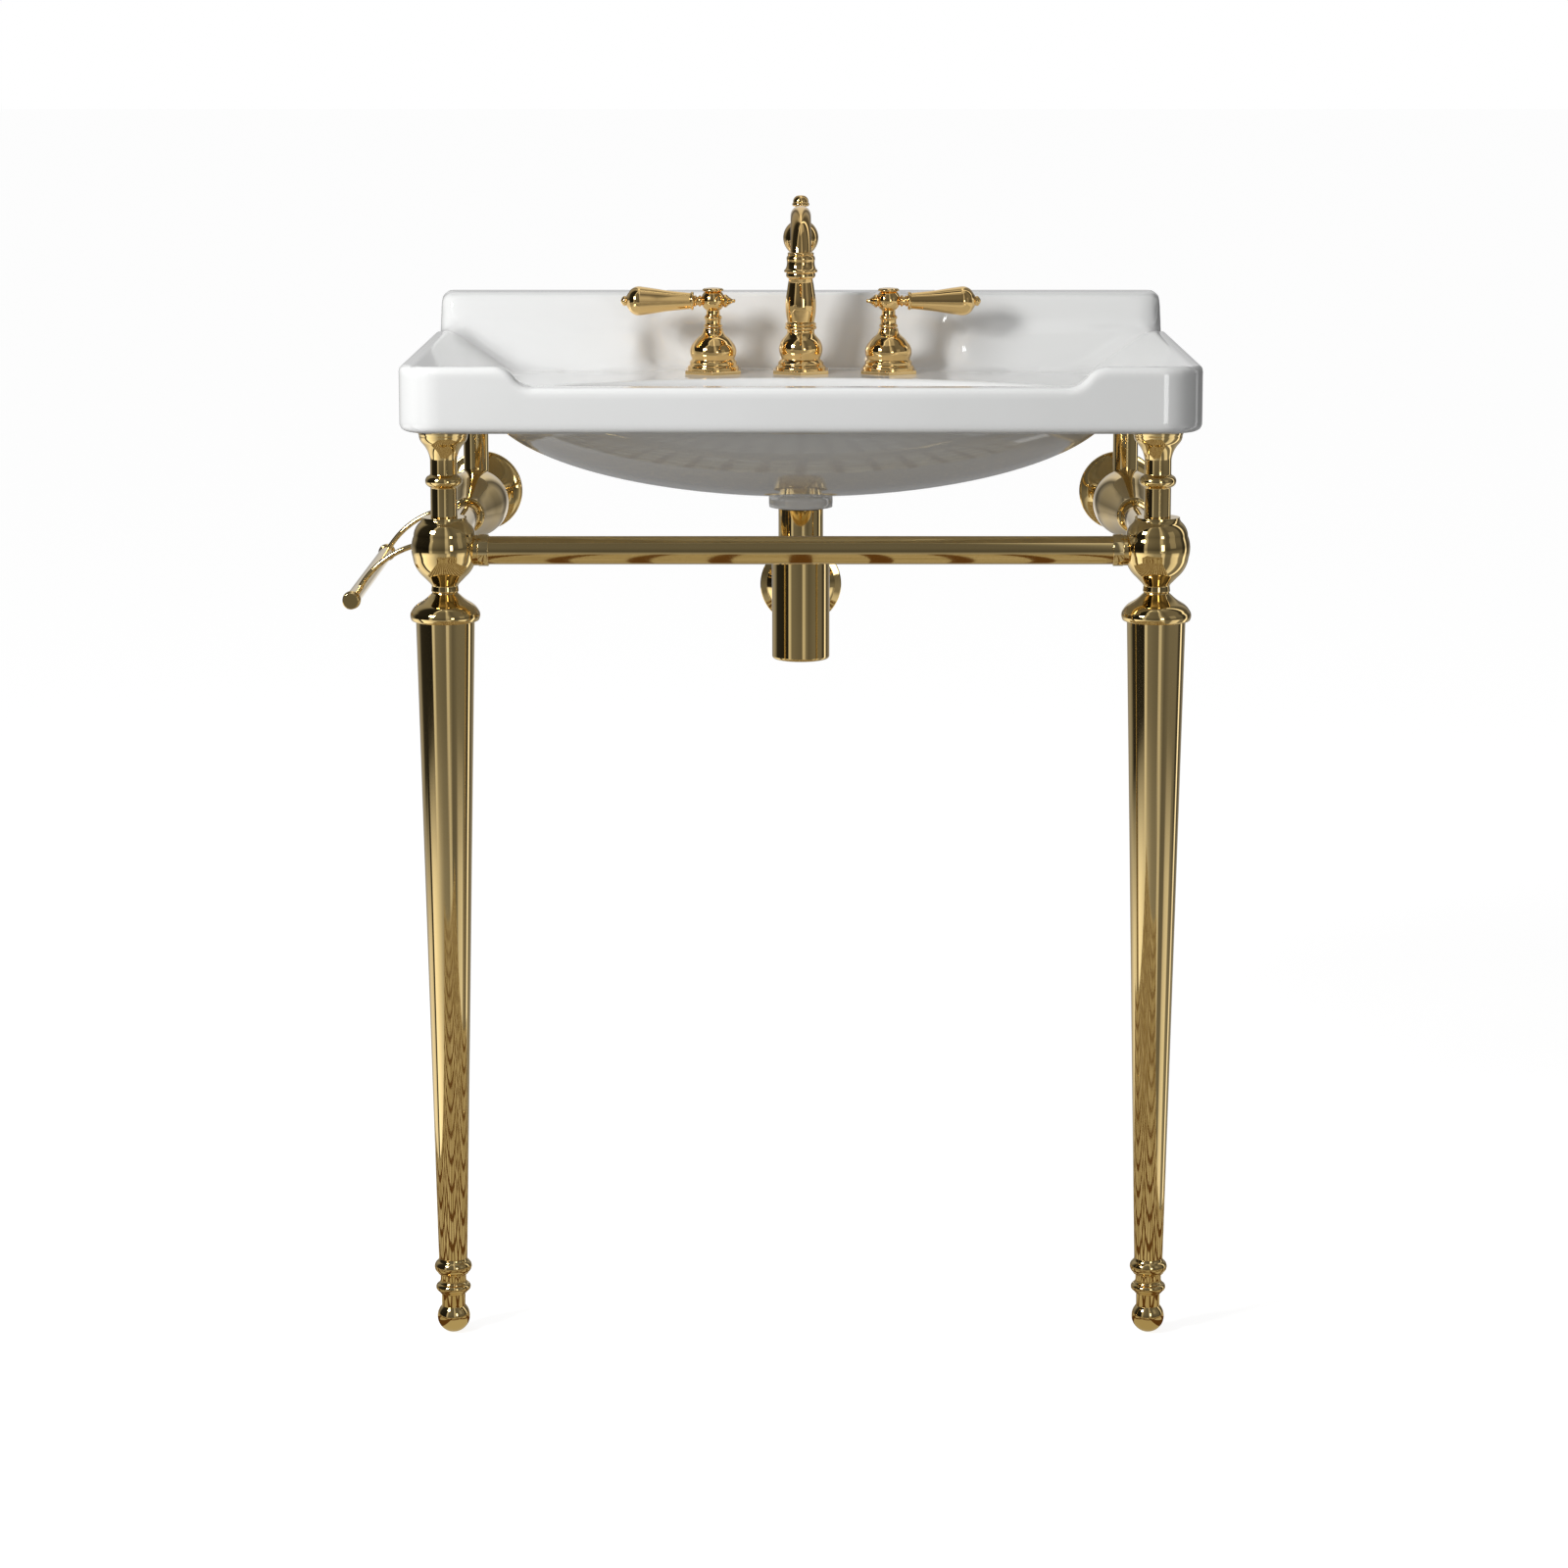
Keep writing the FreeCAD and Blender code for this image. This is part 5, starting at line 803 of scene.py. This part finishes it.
bottle = bmesh.new()
seat(bottle, add_turned(bottle, BOTTLE), place(0, BOWL_FROM_WALL, BOTTLE_FOOT))
seat(bottle, add_turned(bottle, OUTLET_BOSS), place(0, BOWL_FROM_WALL, OUTLET_HEIGHT), TO_WALL)
make_piece("trap_bottle_spun", bottle, STAND_GOLD, "console", ["trap_bottle"], bevel=0.3)
turned_piece("trap_lid_turned", LID, place(0, BOWL_FROM_WALL, LID_FOOT),
             STAND_GOLD, ["trap_lid"], bevel=0.3)
turned_piece("trap_ring_nut", OUTLET_NUT, place(0, NUT_FROM_WALL, OUTLET_HEIGHT),
             STAND_GOLD, ["trap_outlet_nut"], TO_WALL, bevel=0.3)
turned_piece("wall_plate_spun", WALL_PLATE, place(0, 0, WALL_WASTE),
             STAND_GOLD, ["trap_escutcheon"], TO_FRONT, bevel=0.2)
waste = bmesh.new()
seat(waste, add_turned(waste, WASTE_TUBE), place(0, BOWL_FROM_WALL, LID_FOOT + LID_HEIGHT))
boss = add_turned(waste, PIVOT_BOSS, SMALL_RING_STEPS)
seat(waste, boss, place(0, BOWL_FROM_WALL, RAIL_HEIGHT), TO_WALL)
make_piece("waste_tube_turned", waste, STAND_GOLD, "console", ["drain_body"], bevel=0.3)
print("bottle from", BOTTLE_FOOT, "to", LID_FOOT, "mm above the floor")

# %% [markdown]
# ## The drain ring
# In the bowl only a gold ring and the low crowned cap of the stopper show. The cap is
# right as the CAD made it, so only the ring is turned again, with softer lips.

# %% Drain ring
DRAIN_FOOT = 722.0
DRAIN_RING = [
    (15.5, 0.0), (17.5, 0.0), (17.5, 33.7), (32.4, 33.7), (32.6, 34.6),
    (31.6, 35.8, 29.4, 36.2), (20.2, 36.3), (19.8, 35.9), (19.8, 34.9), (15.5, 34.9), (15.5, 0.0),
]
turned_piece("drain_ring_turned", DRAIN_RING, place(0, BOWL_FROM_WALL, DRAIN_FOOT),
             TAP_GOLD, ["drain_flange"], bevel=0.2)
print("the drain ring is", 2 * max(step[0] for step in DRAIN_RING), "mm across")

# %% [markdown]
# ## Taps
# Each tap stands on a hexagonal plate with one flat side to the front. A round tier and
# a bell rise from it, and the lever's ball turns on top. The plate is a six-sided disc,
# pulled up to its thickness, and the finishing bevel eases its edges.

# %% Hexagonal plates, bells and the spout's foot
HEX_RADIUS, HEX_HEIGHT = 30.5, 3.4


def add_hex_plate(bm, where):
    """A six-sided plate with one flat side to the front."""
    made = bmesh.ops.create_circle(bm, cap_ends=True, radius=HEX_RADIUS * MM, segments=6)["verts"]
    face = made[0].link_faces[0]
    top = bmesh.ops.extrude_face_region(bm, geom=[face])["geom"]
    verts = [item for item in top if isinstance(item, bmesh.types.BMVert)]
    bmesh.ops.translate(bm, verts=verts, vec=(0, 0, HEX_HEIGHT * MM))
    seat(bm, made + verts, where)


BELL = [
    (0.0, 1.0), (24.6, 1.0), (24.6, 4.6),
    (24.2, 6.6, 22.8, 7.6), (22.4, 8.8), (22.6, 10.6),
    (21.6, 12.0, 20.6, 13.0),
    (20.8, 14.4), (22.3, 21.5, 18.9, 29.0),
    (16.4, 32.2, 13.2, 35.2),
    (10.2, 38.6, 9.3, 42.2), (9.2, 43.0), (0.0, 43.0),
]
SPOUT_FOOT = [
    (0.0, 1.0), (24.0, 1.0), (24.0, 4.4),
    (23.6, 6.2, 22.2, 7.2), (21.6, 8.6), (21.8, 10.2),
    (20.4, 11.8, 18.6, 13.4),
    (18.9, 15.0), (20.8, 24.4, 15.6, 34.6), (13.6, 37.2), (13.2, 38.6), (0.0, 38.6),
]


def make_tap_foot(name, outline, x, nodes):
    """A plate with a turned outline on it, in one mesh."""
    bm = bmesh.new()
    add_hex_plate(bm, place(x, TAP_FROM_WALL, DECK))
    seat(bm, add_turned(bm, outline), place(x, TAP_FROM_WALL, DECK))
    return make_piece(name, bm, TAP_GOLD, "console", nodes)


make_tap_foot("hot_bell_turned", BELL, -TAP_SPACING, ["hot_bell"])
make_tap_foot("cold_bell_turned", BELL, TAP_SPACING, ["cold_bell"])
print("tap plates are", 2 * HEX_RADIUS, "mm across their corners")

# %% [markdown]
# A lever is one brass turning with a ball: rings and a neck below, a pointed tail on one
# side, and on the other a stalk, a collar and a grip shaped like a drop with a bead at
# its tip. It is modelled as two spun outlines at right angles in one mesh.

# %% Levers and their caps
LEVER_RISE, CAP_RISE, LEVER_REACH, LEVER_STEPS = 68.9, 78.5, 88.4, 64
LEVER_NECK = [
    (4.1, 43.3), (7.6, 43.3), (8.9, 45.1, 7.6, 46.9), (7.5, 48.2),
    (7.5, 51.2), (8.5, 53.4, 7.1, 55.2), (6.5, 56.4), (6.5, 60.0),
    (11.5, 69.5, 7.16, CAP_RISE), (0.0, CAP_RISE), (0.0, 62.0), (4.1, 62.0), (4.1, 43.3),
]
LEVER = [
    (0.0, -21.5), (1.0, -21.3), (1.7, -20.2, 1.6, -19.2),
    (3.6, -15.6, 5.6, -13.4), (6.3, -12.4), (6.3, -11.0), (4.0, -9.0),
    (4.0, 10.0), (4.3, 11.4), (5.6, 12.6, 4.4, 13.8), (4.2, 15.6),
    (5.4, 16.8, 5.0, 18.2), (8.3, 18.5), (8.8, 19.8, 8.3, 21.2), (7.7, 21.6),
    (7.9, 23.2), (8.9, 34.0, 10.3, 46.0),
    (12.1, 57.0, 13.7, 68.2),
    (13.3, 74.8, 9.9, 79.6), (5.6, 82.4), (4.3, 83.0), (4.8, 84.0),
    (4.6, 85.6, 3.2, 86.9), (1.6, 88.0, 0.0, LEVER_REACH),
]
LEVER_CAP = [
    (0.0, 0.0), (9.8, 0.0), (10.2, 0.6, 10.0, 1.4), (9.0, 2.4), (4.8, 3.0, 0.0, 3.2),
]


def make_lever(tap, side):
    """A lever and its cap, on the body that turns them."""
    x = TAP_SPACING * side
    outward = TO_RIGHT if side > 0 else TO_LEFT
    bm = bmesh.new()
    seat(bm, add_turned(bm, LEVER_NECK, LEVER_STEPS), place(x, TAP_FROM_WALL, DECK))
    grip = add_turned(bm, LEVER, LEVER_STEPS)
    seat(bm, grip, place(x, TAP_FROM_WALL, DECK + LEVER_RISE), outward)
    make_piece(tap + "_lever_turned", bm, TAP_GOLD, tap + "_handle", [tap + "_lever"], bevel=0.2)
    turned_piece(tap + "_cap_turned", LEVER_CAP, place(x, TAP_FROM_WALL, DECK + CAP_RISE),
                 TAP_GOLD, [tap + "_lever_cap"], body=tap + "_handle", bevel=0.15)


make_lever("hot", -1)
make_lever("cold", 1)
print("levers reach", LEVER_REACH, "mm from their taps")

# %% [markdown]
# ## The spout
# The spout has a bulb on its plate, three rings, a vase-shaped column and a ball. A tube
# arches out of the ball and drops into a bell-mouthed outlet with the aerator in it.

# %% Column, ball, tube and outlet
COLUMN = [
    (0.0, 38.6), (12.9, 38.6), (13.3, 40.4, 13.0, 41.6),
    (14.6, 42.0), (15.3, 43.6, 14.6, 45.2), (14.0, 45.6), (14.8, 46.8, 13.9, 48.2),
    (12.8, 49.2), (14.8, 63.0, 13.3, 78.0),
    (11.7, 88.6, 9.7, 97.0), (9.4, 102.0), (9.6, 114.8),
    (16.8, 130.5, 0.0, 147.3),
]
OUTLET = [
    (12.4, 104.0), (15.0, 104.0), (15.6, 105.2, 15.0, 106.4), (14.2, 107.2),
    (13.0, 111.0, 13.1, 115.4), (12.9, 118.4, 11.7, 120.0), (12.3, 121.2, 11.4, 122.4),
    (10.0, 122.8), (6.5, 122.8), (6.5, 110.8), (12.4, 109.0), (12.4, 104.0),
]
AERATOR = [
    (8.5, 94.6), (10.4, 94.6), (10.9, 95.1), (11.2, 98.2), (12.9, 99.2), (13.6, 100.4),
    (13.6, 102.6), (13.0, 104.0), (12.35, 104.0), (12.35, 108.0), (8.5, 108.0), (8.5, 94.6),
]
make_tap_foot("spout_foot_turned", SPOUT_FOOT, 0.0, ["spout_base"])
turned_piece("spout_column_turned", COLUMN, place(0, TAP_FROM_WALL, DECK), TAP_GOLD,
             ["spout_column"], bevel=0.15)

SPOUT_FROM_WALL, SPOUT_RADIUS = 210.0, 9.6
CROWN, TIGHT_BEND, LONG_BEND = 153.8, 45.0, 116.8
CROWN_FROM_WALL = SPOUT_FROM_WALL - TIGHT_BEND
mouth = place(0, SPOUT_FROM_WALL, DECK)
tight_centre = place(0, CROWN_FROM_WALL, DECK + CROWN - TIGHT_BEND)
long_centre = place(0, CROWN_FROM_WALL, DECK + CROWN - LONG_BEND)
tube_start = place(0, SPOUT_FROM_WALL, DECK + CROWN - TIGHT_BEND)
spout = bmesh.new()
edges = start_tube(spout, SPOUT_RADIUS, tube_start, UP)
edges = bend(spout, edges, tight_centre, degrees=-90.0, steps=22)
edges = bend(spout, edges, long_centre, degrees=-32.0, steps=16)
close_ends(spout)
seat(spout, add_turned(spout, OUTLET), mouth)
make_piece("spout_tube_bent", spout, TAP_GOLD, "console", ["spout_tube"], bevel=0.15)
turned_piece("aerator_turned", AERATOR, mouth, TAP_GOLD, ["aerator"], bevel=0.15)
print("the spout reaches", SPOUT_FROM_WALL - TAP_FROM_WALL, "mm forward")

# %% [markdown]
# The lift rod comes up through the column, behind the ball. Only its knob shows from
# the front. It rides its own body, because it slides.

# %% Lift rod with its knob
ROD_BEHIND, ROD_BELOW_DECK = 6.5, 107.0
LIFT_ROD = [
    (0.0, 0.0), (2.0, 0.0), (2.0, 254.8), (5.3, 254.8), (5.7, 256.0, 5.4, 257.4),
    (4.3, 260.6, 4.2, 264.2), (5.2, 265.6), (7.2, 266.0), (8.2, 267.8, 7.2, 269.6),
    (7.3, 270.0), (6.0, 274.2, 1.6, 276.4), (0.0, 276.5),
]
rod_foot = place(0, TAP_FROM_WALL - ROD_BEHIND, DECK - ROD_BELOW_DECK)
turned_piece("lift_rod_turned", LIFT_ROD, rod_foot, TAP_GOLD, ["lift_rod"], body="lift",
             bevel=0.15)
knob_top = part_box("lift_rod")[1].z
print("the knob's top is at z =", round(knob_top, 4))

# %% [markdown]
# ## Floor
# A plain pale floor runs past the picture's edges. It glows a little by itself, which
# keeps it even from near to far, and it stays out of reflections and bounced light so
# that the underside of the bowl keeps its shade.

# %% Lay the floor
def plain_sheet(name, size, where, colour, glow):
    """A level sheet that belongs to the studio, not to the basin."""
    bm = bmesh.new()
    bmesh.ops.create_grid(bm, x_segments=1, y_segments=1, size=0.5)
    bmesh.ops.scale(bm, verts=bm.verts, vec=(size[0], size[1], 1.0))
    seat(bm, bm.verts, Vector(where))
    mesh = bpy.data.meshes.new(name)
    bm.to_mesh(mesh)
    bm.free()
    paint = bpy.data.materials.new(name)
    paint.use_nodes = True
    shader = paint.node_tree.nodes["Principled BSDF"]
    shader.inputs["Base Color"].default_value = (*colour, 1)
    shader.inputs["Roughness"].default_value = 0.9
    shader.inputs["Specular IOR Level"].default_value = 0.0
    shader.inputs["Emission Color"].default_value = (1, 1, 1, 1)
    shader.inputs["Emission Strength"].default_value = glow
    mesh.materials.append(paint)
    sheet = bpy.data.objects.new(name, mesh)
    scene.collection.objects.link(sheet)
    sheet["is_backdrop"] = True
    return sheet


GROUND = -FLOOR_TO_BOLTS * MM
FLOOR_GREY, FLOOR_GLOW = 0.4, 0.84
floor = plain_sheet("floor", (80, 80), (0, 0, GROUND), (FLOOR_GREY,) * 3, FLOOR_GLOW)
floor.visible_diffuse = floor.visible_glossy = False
print("floor at z =", GROUND)

# %% [markdown]
# ## The room that the gold mirrors
# Polished metal shows the room, not a colour of its own. White air all round would give
# flat yellow legs. The room here is dim, with a black wall on the left, narrow bright
# strips, and a floor that is lit on the left. Each leg squeezes that whole ring of the
# room into vertical stripes: one ring serves eye level, and another the rays that look
# down to the floor. The camera itself sees plain white air.

# %% A procedural room
HIGH_RING = [
    (-180, 0.85), (-168, 0.80), (-160, 0.12), (-150, 0.38), (-128, 0.34), (-117, 0.16),
    (-110, 0.03), (-52, 0.015), (-48, 0.80), (-41, 0.60), (-37, 0.21), (-5, 0.16), (5, 0.15),
    (8, 0.65), (16, 0.60), (20, 0.24), (32, 0.13), (52, 0.19), (90, 0.20),
    (98, 0.06), (108, 0.05), (111, 1.5), (117, 1.5), (120, 0.10), (135, 0.12),
    (150, 0.40), (160, 0.12), (168, 0.80), (180, 0.85),
]
LOW_RING = [
    (-180, 0.22), (-150, 0.45), (-118, 0.90), (-98, 0.70), (-94, 0.03), (-86, 0.03),
    (-82, 1.20), (-60, 0.95), (-40, 0.62), (-28, 0.40), (-15, 0.26), (10, 0.22),
    (14, 0.62), (22, 0.58), (26, 0.14), (46, 0.14), (54, 0.62), (76, 0.78),
    (84, 0.20), (104, 0.15), (111, 1.1), (117, 1.1), (122, 0.18), (150, 0.30), (180, 0.22),
]
SWAP_FROM, SWAP_TO = -14.4, -12.3
ROOM_HEIGHTS = [
    (-90, 1.3), (-30, 1.3), (-20, 1.5), (-14, 1.0), (-9, 1.0), (-2, 0.5), (8, 0.75),
    (25, 0.95), (60, 0.9), (75, 1.6), (90, 2.4),
]
AIR_SIDES = [(-180, 1.0), (-120, 1.15), (-50, 1.15), (0, 1.0), (50, 0.40), (130, 0.25), (180, 1.0)]
AIR_HEIGHTS = [(-90, 0.165), (-12, 0.195), (5, 0.52), (40, 0.47), (90, 0.27)]


def fill_ramp(nodes, stops, lowest, highest):
    """A grey ramp whose stops are given in degrees and brightness."""
    ramp = nodes.new("ShaderNodeValToRGB")
    elements = ramp.color_ramp.elements
    while len(elements) < len(stops):
        elements.new(0.5)
    for element, (degrees, _) in zip(elements, stops):
        element.position = (degrees - lowest) / (highest - lowest)
    for element, (_, value) in zip(elements, stops):
        element.color = (value, value, value, 1)
    return ramp


def build_room():
    """A world with three faces: white for the camera, air for matt rays, a room for mirrors."""
    world = bpy.data.worlds.new("studio_room")
    world.use_nodes = True
    nodes, link = world.node_tree.nodes, world.node_tree.links.new
    seen = nodes.new("ShaderNodeTexCoord")
    split = nodes.new("ShaderNodeSeparateXYZ")
    link(seen.outputs["Generated"], split.inputs["Vector"])

    forward = nodes.new("ShaderNodeMath")
    forward.operation = "MULTIPLY"
    forward.inputs[1].default_value = -1.0
    link(split.outputs["Y"], forward.inputs[0])
    around = nodes.new("ShaderNodeMath")
    around.operation = "ARCTAN2"
    link(split.outputs["X"], around.inputs[0])
    link(forward.outputs["Value"], around.inputs[1])
    share = nodes.new("ShaderNodeMapRange")
    share.inputs["From Min"].default_value = -math.pi
    share.inputs["From Max"].default_value = math.pi
    link(around.outputs["Value"], share.inputs["Value"])
    high = fill_ramp(nodes, HIGH_RING, -180, 180)
    low = fill_ramp(nodes, LOW_RING, -180, 180)
    link(share.outputs["Result"], high.inputs["Fac"])
    link(share.outputs["Result"], low.inputs["Fac"])

    rise = nodes.new("ShaderNodeMath")
    rise.operation = "ARCSINE"
    link(split.outputs["Z"], rise.inputs[0])
    level = nodes.new("ShaderNodeMapRange")
    level.inputs["From Min"].default_value = -math.pi / 2
    level.inputs["From Max"].default_value = math.pi / 2
    link(rise.outputs["Value"], level.inputs["Value"])
    heights = fill_ramp(nodes, ROOM_HEIGHTS, -90, 90)
    air_heights = fill_ramp(nodes, AIR_HEIGHTS, -90, 90)
    air_sides = fill_ramp(nodes, AIR_SIDES, -180, 180)
    link(level.outputs["Result"], heights.inputs["Fac"])
    link(level.outputs["Result"], air_heights.inputs["Fac"])
    link(share.outputs["Result"], air_sides.inputs["Fac"])

    swap = nodes.new("ShaderNodeMapRange")
    swap.inputs["From Min"].default_value = math.radians(SWAP_FROM)
    swap.inputs["From Max"].default_value = math.radians(SWAP_TO)
    link(rise.outputs["Value"], swap.inputs["Value"])
    ring = nodes.new("ShaderNodeMix")
    ring.data_type = "RGBA"
    link(swap.outputs["Result"], ring.inputs["Factor"])
    link(low.outputs["Color"], ring.inputs["A"])
    link(high.outputs["Color"], ring.inputs["B"])

    def times(first, second):
        product = nodes.new("ShaderNodeMix")
        product.data_type = "RGBA"
        product.blend_type = "MULTIPLY"
        product.inputs["Factor"].default_value = 1.0
        link(first, product.inputs["A"])
        link(second, product.inputs["B"])
        return product.outputs["Result"]

    room = times(ring.outputs["Result"], heights.outputs["Color"])
    air = times(air_heights.outputs["Color"], air_sides.outputs["Color"])

    path = nodes.new("ShaderNodeLightPath")
    mirrored = nodes.new("ShaderNodeMix")
    mirrored.data_type = "RGBA"
    link(path.outputs["Is Glossy Ray"], mirrored.inputs["Factor"])
    link(air, mirrored.inputs["A"])
    link(room, mirrored.inputs["B"])
    shown = nodes.new("ShaderNodeMix")
    shown.data_type = "RGBA"
    shown.inputs["B"].default_value = (1.0, 1.0, 1.0, 1)
    link(path.outputs["Is Camera Ray"], shown.inputs["Factor"])
    link(mirrored.outputs["Result"], shown.inputs["A"])
    link(shown.outputs["Result"], nodes["Background"].inputs["Color"])
    return world


scene.world = build_room()
scene.view_settings.view_transform = "Standard"
print("the room has", len(HIGH_RING), "tones at eye level and", len(LOW_RING), "near the floor")

# %% [markdown]
# ## Lights
# One softbox close on the left is the key, so the rim falls off gently to the right. A
# weak one fills the right side, one hangs overhead, and a tall strip in front draws a
# bright line down the rim's right corner.

# %% Softboxes
SOFTBOXES = {
    "key": ((-1.55, -1.65, 1.0), (-0.1, -0.3, 0.0), (0.6, 0.6), 41),
    "fill": ((1.9, -1.6, 0.5), (0.1, -0.3, 0.0), (0.8, 1.2), 0.5),
    "strip": ((1.0, -2.85, 0.08), (0.31, -0.5, -0.02), (0.45, 0.9), 5.2),
    "top": ((0.1, -0.5, 1.7), (0, -0.3, 0.0), (1.2, 0.8), 0.6),
}


def add_softbox(name, where, toward, size, watts):
    """A rectangular lamp at a place, turned toward a point."""
    light = bpy.data.lights.new(name, "AREA")
    light.shape = "RECTANGLE"
    light.size, light.size_y = size
    light.energy = watts
    lamp = bpy.data.objects.new(name, light)
    lamp.location = where
    lamp.rotation_euler = (Vector(toward) - Vector(where)).to_track_quat("-Z", "Y").to_euler()
    scene.collection.objects.link(lamp)


for box_name, (where, toward, size, watts) in SOFTBOXES.items():
    add_softbox(box_name, where, toward, size, watts)

# %% [markdown]
# The underside of the rail and the lower legs mirror a floor of small tiles. Laying each
# tile would be a waste for so small a reflection, so a brick pattern glows on one level
# sheet, which only reflections can see.

# %% Tiles for the mirrors
TILE, MORTAR = 0.085, 0.013
TILES_SIZE, TILES_PLACE = (1.5, 1.85), (-0.08, -0.93, GROUND + 0.001)
tiles = plain_sheet("tiles", TILES_SIZE, TILES_PLACE, (0, 0, 0), 1.0)
tiles.visible_camera = tiles.visible_diffuse = tiles.visible_shadow = False
tile_nodes = tiles.data.materials[0].node_tree
laid = tile_nodes.nodes.new("ShaderNodeTexBrick")
laid.offset = 0.0
laid.squash = 1.0
for socket, value in {
    "Color1": (0.60, 0.57, 0.46, 1), "Color2": (0.44, 0.40, 0.28, 1),
    "Mortar": (0.12, 0.06, 0.02, 1), "Mortar Size": MORTAR, "Mortar Smooth": 0.1,
    "Scale": 1.0, "Bias": 0.0, "Brick Width": TILE, "Row Height": TILE,
}.items():
    laid.inputs[socket].default_value = value
tile_place = tile_nodes.nodes.new("ShaderNodeTexCoord")
tile_nodes.links.new(tile_place.outputs["Object"], laid.inputs["Vector"])
tile_shader = tile_nodes.nodes["Principled BSDF"]
tile_nodes.links.new(laid.outputs["Color"], tile_shader.inputs["Emission Color"])
print("tiles of", round(TILE / MM), "mm lie over", TILES_SIZE, "m")

# %% [markdown]
# ## Camera
# In the photo the legs stay parallel, so its lens was shifted down rather than tilted.
# A small shift with a gentle tilt keeps nearly the same picture, and the basin still
# sits inside the frame when the same lens looks from another side.

# %% Camera
CAMERA_PLACE, CAMERA_TILT = (0.0, -4.05, 0.341), 8.06
camera_data = bpy.data.cameras.new("camera")
camera_data.sensor_width = 36.0
camera_data.lens = 94.9
camera_data.shift_x = -0.0107
camera_data.shift_y = -0.13
camera_data.clip_end = 100.0
camera = bpy.data.objects.new("camera", camera_data)
camera.location = CAMERA_PLACE
camera.rotation_euler = (math.radians(90.0 - CAMERA_TILT), 0.0, 0.0)
scene.collection.objects.link(camera)
scene.camera = camera
print("camera at", CAMERA_PLACE, "tilted down by", CAMERA_TILT, "degrees")

# %% Print the sizes
shown_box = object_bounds()
for box_name, corners in (("CAD", cad_box), ("shown", shown_box)):
    print(box_name, [round(b - a, 4) for a, b in zip(*corners)])
